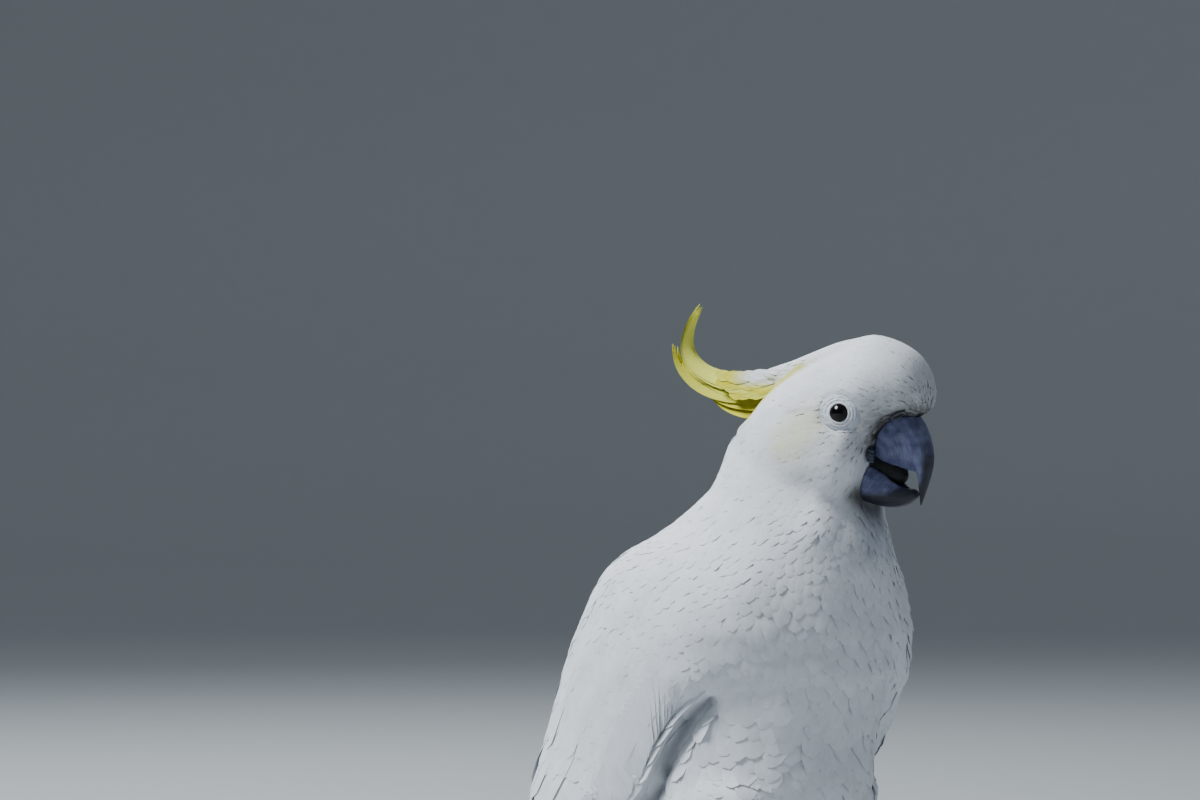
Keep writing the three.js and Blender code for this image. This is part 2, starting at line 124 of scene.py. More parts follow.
# Each row: a place, the way its feathers lie, the spacing of their roots, their length and width, how far
# their tips stand off the skin, and how ruffled they are from 0 to 1. A place off the middle plane stands
# for both sides. Millimetres.
HEAD_COAT = (
    ((28, 9, 5), (-0.5, 0.6, 0.9), 1.3, 4, 1.7, 0.5, 0.2),
    ((24, 17, 0), (-1, 0.3, 0.2), 1.3, 4, 1.7, 0.5, 0.2),
    ((14, 22, -8), (-1, 0.2, -0.1), 1.5, 5, 1.9, 0.7, 0.1),
    ((30, 0, 20), (-0.7, 0, 1), 1.7, 7, 2.6, 1, 0),
    ((22, 14, 20), (-1, 0.3, 0.5), 1.8, 7, 2.6, 1, 0),
    ((8, 0, 34), (-1, 0, -0.05), 2.2, 10, 3.6, 1.2, 0),
    ((2, 20, 24), (-1, 0, -0.1), 2.1, 9, 3.4, 1.2, 0),
    ((-14, 24, 8), (-1, 0, -0.2), 2.1, 9, 3.4, 1.2, 0),
    ((-25, 0, 22), (-1, 0, -0.25), 2.2, 11, 3.6, 1.2, 0),
    ((-42, 0, 16), (-1, 0, 0.1), 1.7, 7, 2.2, 0.5, 0),
    ((-40, 10, 9), (-1, 0, -0.1), 1.8, 8, 2.6, 0.6, 0),
    ((2, 25, 11), (-1, 0, 0.1), 1.6, 5, 2, 0.6, 0),
    ((2, 25, -11), (-1, 0, -0.3), 1.6, 5, 2, 0.6, 0),
    ((-9, 27, 1), (-1, 0, -0.15), 1.6, 5, 2, 0.5, 0),
    ((-14, 27, -8), (-1, 0, -0.45), 2.2, 10, 3.4, 1.3, 0.05),
    ((4, 24, -24), (-0.75, 0.1, -0.8), 2.2, 11, 3.6, 1.6, 0.2),
    ((-8, 27, -38), (-0.6, 0, -1), 2.6, 13, 4.2, 2.2, 0.3),
    ((8, 8, -45), (-0.5, 0, -1), 2.4, 10, 3.8, 1.8, 0.4),
    ((-34, 22, -14), (-0.7, 0, -1), 2.6, 12, 4.2, 1.6, 0.05),
    ((-47, 0, -5), (-0.3, 0, -1), 2.8, 13, 4.8, 1.8, 0.05),
)
BODY_COAT = (
    ((160, 8, 215), (0.05, 0, -1), 3.4, 14, 6.5, 2.4, 0.45),
    ((128, 36, 215), (-0.2, 0.1, -1), 3.2, 16, 5.5, 2.2, 0.1),
    ((95, 20, 228), (-0.5, 0, -0.9), 3.2, 16, 6, 2, 0),
    ((168, 0, 180), (-0.05, 0, -1), 5, 19, 11, 4.2, 1),
    ((150, 32, 185), (-0.1, 0, -1), 4.8, 19, 10, 3.4, 0.85),
    ((142, 46, 172), (-0.25, 0, -1), 4.6, 20, 9, 2.6, 0.25),
    ((152, 0, 130), (-0.3, 0, -1), 5.4, 22, 12, 4.2, 0.8),
    ((135, 38, 130), (-0.3, 0, -0.95), 5.6, 22, 12, 3.6, 0.6),
    ((120, 0, 72), (-0.9, 0, -0.5), 5.6, 25, 11, 4.4, 0.5),
    ((30, 0, 48), (-1, 0, -0.2), 5.6, 27, 11, 4, 0.3),
    ((-40, 0, 30), (-1, 0, -0.25), 5.6, 30, 12, 2.8, 0.1),
    ((60, 0, 205), (-0.75, 0, -0.65), 4.4, 20, 8.5, 2.2, 0),
    ((22, 0, 165), (-0.4, 0, -0.9), 5, 23, 10, 2.2, 0),
    ((-8, 0, 110), (-0.45, 0, -0.9), 5.4, 26, 11, 2.4, 0),
    ((-50, 0, 62), (-0.9, 0, -0.45), 5.8, 30, 12, 2.2, 0),
    ((112, 43, 112), (-0.3, 0, -0.95), 4.8, 19, 9.5, 2.8, 0.2),
    ((84, 40, 90), (-0.35, 0, -0.95), 5, 22, 10, 3.6, 0.2),
    ((50, 38, 62), (-0.8, 0, -0.5), 5.2, 24, 10, 3.6, 0.15),
    ((112, 42, 86), (-0.2, 0, -1), 3.8, 17, 7, 2.8, 0.2),
    ((113, 55, 144), (-0.62, 0, -0.78), 4, 18, 8, 1.5, 0),
    ((98, 56, 123), (-0.64, 0, -0.77), 4.2, 19, 8.5, 1.5, 0),
    ((88, 57, 106), (-0.7, 0, -0.72), 4.4, 20, 9, 1.5, 0),
    ((64, 57, 88), (-0.85, 0, -0.53), 5, 22, 9.5, 1.5, 0),
    ((90, 34, 50), (-0.25, 0, -1), 2.8, 11, 4.6, 1.8, 0.15),
    ((140, 48, 192), (-0.45, 0, -0.9), 3.6, 15, 6.5, 1.6, 0),
    ((115, 58, 165), (-0.5, 0, -0.87), 4, 18, 8, 1.5, 0),
    ((70, 60, 160), (-0.5, 0, -0.87), 4.6, 21, 9, 1.5, 0),
    ((75, 60, 120), (-0.65, 0, -0.75), 5.2, 26, 10.5, 1.5, 0),
    ((20, 40, 130), (-0.6, 0, -0.8), 5.4, 28, 11, 1.5, 0),
    ((0, 30, 90), (-0.8, 0, -0.6), 6, 30, 12, 1.5, 0),
    ((-60, 25, 45), (-0.92, 0, -0.38), 6, 30, 12, 1.4, 0),
)


def coat_guides():
    """Every row of the coat, for both sides: places, lies and sizes, in metres."""
    places, lies, sizes = [], [], []
    head = HEAD_COAT, on_head, turn_with_head
    body = BODY_COAT, lambda *place: Vector(place) * MM, lambda *lie: Vector(lie)
    for table, placed, turned in (head, body):
        for (x, y, z), (ahead, out, up), *size in table:
            for side in (-1, 1) if y else (1,):
                places.append(placed(x, side * y, z))
                lies.append(turned(ahead, side * out, up))
                sizes.append(size)
    sizes = np.array(sizes, float)
    sizes[:, :RUFFLE] *= MM
    return np.array(places), np.array(lies), sizes


SPACING, LENGTH, WIDTH, DEPTH, RUFFLE = range(5)  # the columns of the sizes
GUIDE_PLACES, GUIDE_LIES, GUIDE_SIZES = coat_guides()


def coat_at(points):
    """The way the feathers lie at each point, and their sizes: nearby rows of the coat count most."""
    apart = np.linalg.norm(points[:, None] - GUIDE_PLACES[None], axis=2)
    weight = (apart + 4 * MM) ** -4.0
    weight /= weight.sum(axis=1, keepdims=True)
    return unit(weight @ GUIDE_LIES), weight @ GUIDE_SIZES


# ---- Meshes ---------------------------------------------------------------------------------------

TAIL_FLESH_END = -80  # behind this the tail is feathers alone
# The tail's middle line: x, then the height of its upper and lower side, in millimetres.
TAIL_LINE = np.array(
    [(-24, 60, 36), (-60, 47, 27), (-100, 31, 18), (-138, 15.5, 8), (-168, 7.5, 2), (-188, 3.2, 0.4)]
)


def vectors_of(parts, kind):
    """One vector of each part of a mesh, in rows."""
    flat = np.zeros(len(parts) * 3, np.float32)
    parts.foreach_get(kind, flat)
    return flat.reshape(-1, 3).astype(float)


def points_of(mesh):
    return vectors_of(mesh.vertices, "co")


def normals_of(mesh):
    return vectors_of(mesh.vertex_normals, "vector")


def move_points(mesh, points):
    mesh.vertices.foreach_set("co", points.astype(np.float32).ravel())
    mesh.update()


def mesh_of(made, name):
    """Ends the making of a form as a smooth mesh."""
    mesh = bpy.data.meshes.new(name)
    made.to_mesh(mesh)
    made.free()
    mesh.shade_smooth()
    return mesh


def join_rings(made, rings):
    """Faces between each ring of points and the next one."""
    for a, b in zip(rings, rings[1:]):
        for i in range(len(a)):
            j = (i + 1) % len(a)
            made.faces.new([a[i], a[j], b[j], b[i]])


def cut_off(solid, end):
    """Leaves only what lies ahead of this x, and closes the cut."""
    everything = [*solid.verts, *solid.edges, *solid.faces]
    cut = bmesh.ops.bisect_plane(
        solid, geom=everything, plane_co=(end, 0, 0), plane_no=(-1, 0, 0), clear_outer=True
    )
    rim = [edge for edge in cut["geom_cut"] if isinstance(edge, bmesh.types.BMEdge)]
    bmesh.ops.edgeloop_fill(solid, edges=rim)


def joined_solids(nodes, grow):
    """One mesh of these solids, each grown a little so that their clearances close."""
    joined = bmesh.new()
    for node in nodes:
        one = bmesh.new()
        one.from_mesh(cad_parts[node].data)
        bmesh.ops.remove_doubles(one, verts=one.verts, dist=0.02 * MM)
        one.normal_update()
        for vert in one.verts:
            vert.co += vert.normal * grow
        if node == "tail":
            cut_off(one, TAIL_FLESH_END * MM)
        part = mesh_of(one, "part")
        joined.from_mesh(part)
        bpy.data.meshes.remove(part)
    return mesh_of(joined, "joined")


def remeshed(mesh, voxel, smoothing):
    """The mesh as one even skin of small faces, smoothed that many times."""
    holder = bpy.data.objects.new("holder", mesh)
    bpy.context.scene.collection.objects.link(holder)
    remesh = holder.modifiers.new("even", "REMESH")
    remesh.mode = "VOXEL"
    remesh.voxel_size = voxel
    if smoothing:
        smooth = holder.modifiers.new("smooth", "SMOOTH")
        smooth.factor = 0.5
        smooth.iterations = smoothing
    made = bpy.data.meshes.new_from_object(holder.evaluated_get(bpy.context.evaluated_depsgraph_get()))
    bpy.data.objects.remove(holder)
    made.shade_smooth()
    return made


def show(name, mesh, finish, replaced=()):
    """Puts a finished mesh into the scene as one piece of the bird."""
    mesh.materials.clear()
    mesh.materials.append(finish)
    piece = bpy.data.objects.new(name, mesh)
    bpy.context.scene.collection.objects.link(piece)
    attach(piece, "root")
    if replaced:
        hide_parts(*replaced)


def colour_points(mesh, colours):
    """Keeps a colour for each point, or one for all, for the material to read."""
    layer = mesh.color_attributes.new("tint", "FLOAT_COLOR", "POINT")
    rgba = np.ones((len(mesh.vertices), 4), np.float32)
    rgba[:, :3] = colours
    layer.data.foreach_set("color", rgba.ravel())


class Surface:
    """A mesh that can be asked for its nearest point and the way it faces there."""

    def __init__(self, mesh):
        self.points = points_of(mesh)
        normals = normals_of(mesh)
        corners = np.zeros(len(mesh.loops), np.int32)
        mesh.loops.foreach_get("vertex_index", corners)
        starts = np.zeros(len(mesh.polygons), np.int32)
        mesh.polygons.foreach_get("loop_start", starts)
        sums = np.add.reduceat(normals[corners], starts)
        self.facing = [Vector(n) for n in unit(sums)]
        self.faces = [list(c) for c in np.split(corners, starts[1:])]
        self.tree = BVHTree.FromPolygons(self.points.tolist(), self.faces)

    def nearest(self, point):
        place, _, face, _ = self.tree.find_nearest(point)
        return place, self.facing[face]

    def thickness(self, point, normal):
        start = point - normal * 0.1 * MM
        hit = self.tree.ray_cast(start, -normal)
        return (hit[0] - start).length if hit[0] else 1.0


def tree_of(nodes):
    """These solids as one tree, with the name of each face's solid."""
    points, faces, names = [], [], []
    for name in nodes:
        data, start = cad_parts[name].data, len(points)
        points += [v.co.copy() for v in data.vertices]
        faces += [[start + i for i in p.vertices] for p in data.polygons]
        names += [name] * len(data.polygons)
    return BVHTree.FromPolygons(points, faces), names


# ---- Colours --------------------------------------------------------------------------------------


def paint(code):
    """The linear colour of a hex code."""
    srgb = [int(code[i : i + 2], 16) / 255 for i in (1, 3, 5)]
    return np.array([c / 12.92 if c <= 0.04045 else ((c + 0.055) / 1.055) ** 2.4 for c in srgb])


WHITE = paint("#eceef2")
CREAM = paint("#eff0c4")
YELLOW = paint("#d6cb10")
PALE_YELLOW = paint("#dfe05c")
# Painted shade: the grey of white feathers in shadow, and the darker grey of the shadowed slot under each wing.
SHADE = paint("#98a1b3")
SLOT_SHADE = paint("#4d535e")
# Dirt round the bill and under the chin, also used as painted shade of the forehead's front and the chin.
STAIN_AND_SHADE = paint("#4e4c45")
DARK_STAIN_AND_SHADE = paint("#211f1f")


def patchy(points, size):
    """Uneven cloud from 0 to 1, with patches of about this size in millimetres."""
    values = [noise.noise(Vector(p) / (size * MM)) for p in points]
    return np.clip(0.5 + 0.9 * np.array(values), 0, 1)


# Soft marks on the skin, on both sides, some of them painted shade: places in the head's frame, radius, colour,
# strength, patchiness.
HEAD_MARKS = (
    (((-21, 27, -13), (-12, 27, -3)), 9, CREAM, 0.8, 0.3),
    (((-52, 8, 2), (-44, 9, 7), (-38, 10, 11)), 5.5, YELLOW, 1.0, 0.0),
    (((-50, 3, 11), (-42, 6, 11)), 3.0, PALE_YELLOW, 0.9, 0.0),
    (((-38, 10, 11), (-30, 10, 13), (-22, 10, 19)), 2.1, YELLOW, 1.0, 0.3),
    (((-22, 10, 19), (-14, 10, 21.5)), 1.2, YELLOW, 0.8, 0.6),
    # Painted shadow: a grey line behind the eye, where lifted feathers cast shade.
    (((-22, 27, 1), (-9, 26, 2)), 1.5, SHADE, 0.6, 0.5),
    # The chin under the lower bill: dirt, darkened further as painted shade of the shadowed chin.
    (((4, 14, -35), (15, 4, -39)), 6, STAIN_AND_SHADE, 0.6, 0.1),
    (((7, 12, -36), (18, 3, -38.5)), 4, DARK_STAIN_AND_SHADE, 0.9, 0.1),
    # Painted shade over the shadowed throat.
    (((15, 5, -46), (10, 8, -58)), 8, SHADE, 0.5, 0.3),
)
UPPER_BILL, _ = tree_of(["bill_upper"])


def stain_and_shade_near_bill(points, clouds):
    """How dark the feathers over the upper bill's base are: narrow and dark with dirt, and broad and faint with
    dirt and painted shade of the forehead's front.
    """
    ahead, _, height = in_head(points)
    beside = (ahead > 2) & (height > -26)
    reach = np.full(len(points), 99.0)
    reach[beside] = [UPPER_BILL.find_nearest(Vector(p))[3] / MM for p in points[beside]]
    share = rising(height, -22, -14)
    return bell(reach, 4.2) * share * (0.65 + 0.6 * clouds), bell(reach, 13) * share * (0.5 + 0.5 * clouds)


def plumage_colours(points, spots=None):
    """White, with the soft marks, the stained and painted-shaded feathers round the bill, painted shadow in the
    slot under each wing, and the cream under the tail.
    """
    colours = WHITE
    clouds = patchy(points if spots is None else spots, 2.6)
    clouds = np.repeat(clouds, len(points) // len(clouds))
    for line, radius, colour, strength, patchiness in HEAD_MARKS:
        for side in SIDES.values():
            marked = [SKIN.nearest(on_head(x, side * y, z))[0] for x, y, z in line]
            share = near(points, marked, radius) * strength
            colours = mixed(colours, colour, share * (1 - patchiness + 1.6 * patchiness * clouds))
    # Dirt round the bill's base, with painted shade of the forehead's front in its broad faint part.
    dark, faint = stain_and_shade_near_bill(points, clouds)
    colours = mixed(mixed(colours, STAIN_AND_SHADE, faint), DARK_STAIN_AND_SHADE, dark)
    # Painted shadow: the flank in the slot under each wing's lower edge is greyed as in the wing's shadow.
    for side in SIDES.values():
        deep = [SKIN.nearest(place)[0] for place in wing_slot(side)]
        colours = mixed(colours, SLOT_SHADE, near(points, deep, 3.8) * 0.8)
    back, upper, lower = TAIL_LINE[::-1].T
    middle = np.interp(points[:, 0] / MM, back, (upper + lower) / 2)
    under_tail = rising(-points[:, 0] / MM, 20, 80) * rising(middle - points[:, 2] / MM, 0, 1.5)
    return mixed(colours, CREAM, under_tail * 0.6)


# ---- Materials ------------------------------------------------------------------------------------


def add_node(tree, kind, inputs=None, **settings):
    """Adds a node with its settings. An input is linked if it is given a socket, and set otherwise."""
    node = tree.nodes.new(kind)
    for name, value in settings.items():
        setattr(node, name, value)
    for key, value in (inputs or {}).items():
        if isinstance(value, bpy.types.NodeSocket):
            tree.links.new(value, node.inputs[key])
        else:
            node.inputs[key].default_value = value
    return node


def new_finish(name):
    """An empty material and its tree, with the place of each point on its own object."""
    material = bpy.data.materials.new(name)
    material.use_nodes = True
    tree = material.node_tree
    tree.nodes.clear()
    return material, tree, add_node(tree, "ShaderNodeTexCoord").outputs["Object"]


def point_colour(tree):
    return add_node(tree, "ShaderNodeAttribute", attribute_name="tint").outputs["Color"]


def worked_out(tree, operation, *values):
    return add_node(tree, "ShaderNodeMath", dict(enumerate(values)), operation=operation).outputs[0]


def grain(tree, place, scale, detail=2.0, roughness=0.5):
    """Cloudy noise from 0 to 1, that many lumps to the metre."""
    inputs = {"Vector": place, "Scale": scale, "Detail": detail, "Roughness": roughness}
    return add_node(tree, "ShaderNodeTexNoise", inputs).outputs["Fac"]


def remap(tree, value, low, high):
    """Turns 0..1 into low..high."""
    node = add_node(tree, "ShaderNodeMapRange", {"Value": value, "To Min": low, "To Max": high})
    return node.outputs["Result"]


def shaded(tree, colour, value, low, high):
    """The colour times a value that goes from low to high."""
    inputs = {"Factor": 1.0, "A": colour, "B": remap(tree, value, low, high)}
    return add_node(tree, "ShaderNodeMix", inputs, data_type="RGBA", blend_type="MULTIPLY").outputs["Result"]


def end_finish(tree, colour, roughness, height=None, strength=1.0, metres=0.001, sunk=False, **more):
    """Ends a material in one surface, with fine relief that many metres high."""
    inputs = {"Base Color": colour, "Roughness": roughness, **more}
    if height:
        relief = {"Height": height, "Strength": strength, "Distance": metres}
        inputs["Normal"] = add_node(tree, "ShaderNodeBump", relief, invert=sunk).outputs["Normal"]
    surface = add_node(tree, "ShaderNodeBsdfPrincipled", inputs)
    add_node(tree, "ShaderNodeOutputMaterial", {"Surface": surface.outputs["BSDF"]})


def feather_finish():
    """Soft matt feather: barbs run out and forward from the shaft in fine, uneven strands."""
    material, tree, spot = new_finish("feather_vane")
    vane = add_node(tree, "ShaderNodeUVMap", uv_map="Vane").outputs["UV"]
    parts = add_node(tree, "ShaderNodeSeparateXYZ", {"Vector": vane}).outputs
    out = worked_out(tree, "ABSOLUTE", parts["X"])
    along = worked_out(tree, "SUBTRACT", parts["Y"], worked_out(tree, "MULTIPLY", out, 1.3))
    strand = add_node(tree, "ShaderNodeCombineXYZ", {"X": along, "Y": out, "Z": parts["Z"]}).outputs[0]
    # Strands about 1 mm wide and many times as long.
    stretched = add_node(tree, "ShaderNodeMapping", {"Vector": strand, "Scale": (1.1, 0.14, 1.0)}).outputs[0]
    barbs = grain(tree, stretched, 1.0, 2.0, 0.6)
    streaked = shaded(tree, point_colour(tree), barbs, 0.86, 1.08)
    clouded = shaded(tree, streaked, grain(tree, spot, 110.0, 4.0), 0.86, 1.1)
    end_finish(tree, clouded, 0.8, barbs, 0.25, 0.0003)
    return material


def down_finish():
    """Down and bare skin under the feathers, in the coat's own colours."""
    material, tree, spot = new_finish("down_under_feathers")
    fluff = grain(tree, spot, 900.0, 3.0)
    end_finish(tree, shaded(tree, point_colour(tree), fluff, 0.8, 1.05), 0.9, fluff, 0.5, 0.0006)
    return material


def horn_finish(name, rough, bloom, stripe):
    """Horn with a worn bloom: fine pits and scratches, and growth lines that many to the metre."""
    material, tree, spot = new_finish(name)
    mottle = grain(tree, spot, 420.0, 5.0, 0.65)
    lines = add_node(tree, "ShaderNodeMapping", {"Vector": spot, "Scale": (1.0, 1.0, 4.0)}).outputs[0]
    growth = grain(tree, lines, stripe)
    bloomed = shaded(tree, point_colour(tree), mottle, 1 - bloom, 1 + bloom)
    worn = remap(tree, mottle, rough - 0.12, rough + 0.12)
    end_finish(tree, shaded(tree, bloomed, growth, 0.75, 1.2), worn, growth, 0.35, 0.0003)
    return material


def wrinkled_finish(name, scale, depth, rough):
    """Bare skin with small wrinkles, that many to the metre."""
    material, tree, spot = new_finish(name)
    inputs = {"Vector": spot, "Scale": scale}
    cells = add_node(tree, "ShaderNodeTexVoronoi", inputs, feature="SMOOTH_F1").outputs["Distance"]
    wrinkled = shaded(tree, point_colour(tree), cells, 1.05, 0.75)
    patched = shaded(tree, wrinkled, grain(tree, spot, scale * 0.4), 0.85, 1.1)
    end_finish(tree, patched, rough, cells, depth, 0.0006, sunk=True)
    return material


def eye_finish():
    """A wet dark eye: a black pupil in a very dark brown iris, under a clear gloss."""
    material, tree, spot = new_finish("wet_eye")
    fibres = grain(tree, spot, 2500.0)
    end_finish(tree, shaded(tree, point_colour(tree), fibres, 0.5, 1.5), 0.11, IOR=1.36)
    return material


FEATHER = feather_finish()
DOWN = down_finish()
BILL_HORN = horn_finish("bill_horn_with_bloom", 0.5, 0.35, 260.0)
CLAW_HORN = horn_finish("claw_horn", 0.35, 0.2, 500.0)
EYE_SKIN = wrinkled_finish("bare_eye_skin", 1600.0, 0.5, 0.6)
FOOT_SKIN = wrinkled_finish("scaled_foot_skin", 700.0, 1.0, 0.7)
MOUTH_SKIN = wrinkled_finish("dark_mouth_skin", 900.0, 0.4, 0.65)
WET_EYE = eye_finish()

# ---- The skin -------------------------------------------------------------------------------------

# The folded right wing from its bend to its tip: lower and upper edge, in millimetres.
WING_EDGES = np.array(
    [
        ((140, -43, 160), (28, -19, 175)),
        ((111, -50, 138), (17, -14, 154)),
        ((95, -51, 119), (8, -10, 136)),
        ((86, -51, 102), (0, -8, 121)),
        ((63, -51, 82), (-10, -6, 99)),
        ((20, -42, 71), (-20, -4, 84)),
        ((1, -35, 64), (-27, -3, 76)),
        ((-27, -28, 53), (-42, -3, 64)),
        ((-77, -27, 34), (-81, -9, 40)),
        ((-134, -28, 15), (-134, -19, 16)),
    ],
    float,
)


def wing_chord(row):
    """The wing's lower and upper edge at this row, between the table's rows or ahead of them if need be."""
    before = int(np.clip(row, 0, len(WING_EDGES) - 2))
    return WING_EDGES[before] * (1 - row + before) + WING_EDGES[before + 1] * (row - before)


def across_wing(place, row):
    """How far across the wing a place is at that row: 0 on its lower edge and 1 on its upper."""
    low, high = wing_chord(row)[:, [0, 2]]
    chord = high - low
    return (np.array((place[0], place[2])) / MM - low) @ chord / (chord @ chord)


def wing_row(place):
    """How far along the wing a place is, in rows of the table."""
    spot = np.array((place[0], place[2])) / MM
    before = None
    for row, (low, high) in enumerate(WING_EDGES[:, :, [0, 2]]):
        across = high - low
        past = (spot - low) @ np.array((across[1], -across[0])) * -1 / np.linalg.norm(across)
        if past < 0:
            return -1.0 if row == 0 else row - 1 + before / (before - past)
        before = past
    return 9.0


def lower_edge(side, rows):
    """Places on the wing's lower edge at these rows."""
    edge = WING_EDGES[:, 0] * (1, -side, 1) * MM
    return np.stack([np.interp(rows, np.arange(len(edge)), edge[:, axis]) for axis in range(3)], axis=-1)


SLOT_ROWS = np.linspace(0.8, 5, 12)  # where the wing's lower edge shows, clear of the breast


def wing_slot(side):
    """The line along which the wing's lower edge stands off the flank."""
    return lower_edge(side, SLOT_ROWS) + np.array((3.6, -3.6 * side, -2.4)) * MM


FLESH = ["head", "crest_cap", "neck", "trunk"]
for side_name in SIDES:
    FLESH += [f"{side_name}_wing_{part}" for part in ("coverts", "secondaries", "primaries")]
    FLESH.append(f"{side_name}_thigh")
SKIN_VOXEL = 1.3
CLOSING = 0.45  # each solid is grown by this so that the clearances between them close
GROOVE = 60  # grooves narrower than about twice this fill with feathers high on the body
FILLED_ABOVE = {-1: (138, 150), 1: (156, 172)}  # the heights where that sets in, on the right and the left
WING_BEND = ((120, 38, 205), (150, 42, 190), (150, 44, 165), (125, 50, 145))  # the wing's front edge, mirrored
NAPE = ((-47, -13, -8), (-52, -7, -9), (-55, 0, -9), (-52, 7, -9), (-47, 13, -8))
CHEEK_LOBE = ((4, 24, -24), (-3, 26, -36), (-9, 25, -50))  # in the head's frame
LEDGES = (  # the places along each, on the right side, from the wing towards the middle of the breast
    ((117, 53, 148), (124, 46, 146), (139, 40, 147), (152, 30, 148.5), (159, 20, 151), (163, 0, 147)),
    ((136, 50, 167), (146, 41, 166), (158, 26, 165), (165, 12, 167), (167, 0, 164)),
)


def smoothed(mesh, times, share=1.0, back=0.51):
    """Evens out the mesh, each point by its share. Pushing back after each turn keeps it from shrinking."""
    ends = np.zeros(len(mesh.edges) * 2, np.int32)
    mesh.edges.foreach_get("vertices", ends)
    ends = ends.reshape(-1, 2)
    froms, tos = np.concatenate([ends, ends[:, ::-1]]).T
    count = np.maximum(np.bincount(froms, minlength=len(mesh.vertices)), 1)[:, None]
    points = points_of(mesh)
    for turn in range(0, times * 2, 1 if back else 2):
        sums = [np.bincount(froms, points[tos, axis], len(points)) for axis in range(3)]
        points += (np.column_stack(sums) / count - points) * (0.5 if turn % 2 == 0 else -back) * share
    move_points(mesh, points)


def fill_grooves(mesh):
    """Draws the surface out over the narrow grooves that the breast and shoulder feathers cover."""
    points = points_of(mesh)
    wide = mesh.copy()
    move_points(wide, points + normals_of(mesh) * GROOVE * MM)
    wide = remeshed(wide, 4 * MM, 6)
    move_points(wide, points_of(wide) - normals_of(wide) * GROOVE * MM)
    wide = remeshed(wide, 2.5 * MM, 6)
    cover = Surface(wide)
    bpy.data.meshes.remove(wide)
    share = covered_share(points)
    for i in np.nonzero(share > 0)[0]:
        place, facing = cover.nearest(Vector(points[i]))
        way = np.array(place) - points[i]
        if way @ np.array(facing) > 0:
            points[i] += way * share[i]
    move_points(mesh, points)


def covered_share(points):
    """How far the breast and shoulder feathers hide the body's grooves at each point."""
    side = np.where(points[:, 1] < 0, -1, 1)
    low, high = np.array([FILLED_ABOVE[s] for s in side]).T * MM
    return rising(points[:, 2], low, high) * (1 - rising(points[:, 2], 0.195, 0.218))


def outer_form():
    """The whole bird's outside, feathers included, without its bill, eyes and feet."""
    mesh = remeshed(joined_solids([*FLESH, "tail"], CLOSING * MM), SKIN_VOXEL * MM, 4)
    fill_grooves(mesh)
    mesh = remeshed(mesh, SKIN_VOXEL * MM, 2)
    points = points_of(mesh)
    smoothed(mesh, 120, covered_share(points)[:, None])
    bend = sum(near(points, np.array(WING_BEND) * (1, side, 1) * MM, 26) for side in (-1, 1))
    smoothed(mesh, 300, (np.clip(bend * 1.5, 0, 1) * covered_share(points))[:, None], back=0)
    smoothed(mesh, 14)
    swell_cheeks(mesh)
    raise_ledges(mesh)
    sink_under_wings(mesh)
    return mesh


def swell_cheeks(mesh):
    """The long feathers of cheek and throat end in a soft lobe on each side, and those of the nape fill it."""
    points, normals = points_of(mesh), normals_of(mesh)
    points += normals * (near(points, [on_head(*place) for place in NAPE], 5) * 2.6 * MM)[:, None]
    for side in (-1, 1):
        line = [on_head(x, side * y, z) for x, y, z in CHEEK_LOBE]
        points += normals * (near(points, line, 9) * 2.6 * MM)[:, None]
    move_points(mesh, points)
    smoothed(mesh, 4)


def sink_under_wings(mesh):
    """Presses the flank in along each wing's lower edge, so that the wing stands off it."""
    points, normals = points_of(mesh), normals_of(mesh)
    for side in (-1, 1):
        away = near(points, wing_slot(side), 3.4) * (points[:, 1] * side > 0)
        points -= normals * (away * 6 * MM)[:, None]
    move_points(mesh, points)
    smoothed(mesh, 2)


def raise_ledges(mesh):
    """The breast feathers end in ledges over those below them."""
    points, normals = points_of(mesh), normals_of(mesh)
    for line in LEDGES:
        above, share = over_ledge(points, line, 10)
        points += normals * (np.tanh(above / 2) * bell(above, 9) * share * 0.7 * MM)[:, None]
    move_points(mesh, points)


def over_ledge(points, line, radius):
    """How many millimetres each point is above this ledge, and how near it is to it."""
    line = np.array(line, float)[::-1]
    both = [near(points, line * (1, side, 1) * MM, radius) for side in (-1, 1)]
    return points[:, 2] / MM - np.interp(np.abs(points[:, 1]) / MM, line[:, 1], line[:, 2]), np.maximum(*both)


def firm_wing_edges(mesh):
    """Draws the skin back out under the wings' outer faces near their lower edges, which smoothing wore off."""
    points = points_of(mesh)
    for name, side in SIDES.items():
        wing = Surface(joined_solids([f"{name}_wing_coverts", f"{name}_wing_secondaries"], 0))
        share = near(points, lower_edge(side, SLOT_ROWS), 11)
        for i in np.nonzero(share > 0.05)[0]:
            place, facing = wing.nearest(Vector(points[i]))
            if facing.y * side > 0.4:
                target = place - facing * 1.3 * MM
                points[i] += (np.array(target) - points[i]) * min(1, share[i] * 1.6)
    move_points(mesh, points)
    smoothed(mesh, 2)


def skin_under(form):
    """The form drawn in by the coat's depth, and by no more than a third of its thickness."""
    surface = Surface(form)
    points, normals = points_of(form), normals_of(form)
    depth = coat_at(points)[1][:, DEPTH]
    thick = np.array([surface.thickness(Vector(p), Vector(n)) for p, n in zip(points, normals)])
    drawn = np.minimum(depth, thick * 0.33)
    skin = form.copy()
    move_points(skin, points - normals * drawn[:, None])
    skin = remeshed(skin, SKIN_VOXEL * MM, 2)
    smoothed(skin, 6)
    firm_wing_edges(skin)
    return skin


skin_mesh = skin_under(outer_form())
SKIN = Surface(skin_mesh)
colour_points(skin_mesh, plumage_colours(points_of(skin_mesh)))
show("skin", skin_mesh, DOWN, FLESH)

# ---- Feathers -------------------------------------------------------------------------------------

SOLIDS, SOLID_NAMES = tree_of(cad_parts)


def solid_at(point):
    return SOLID_NAMES[SOLIDS.find_nearest(point)[2]]


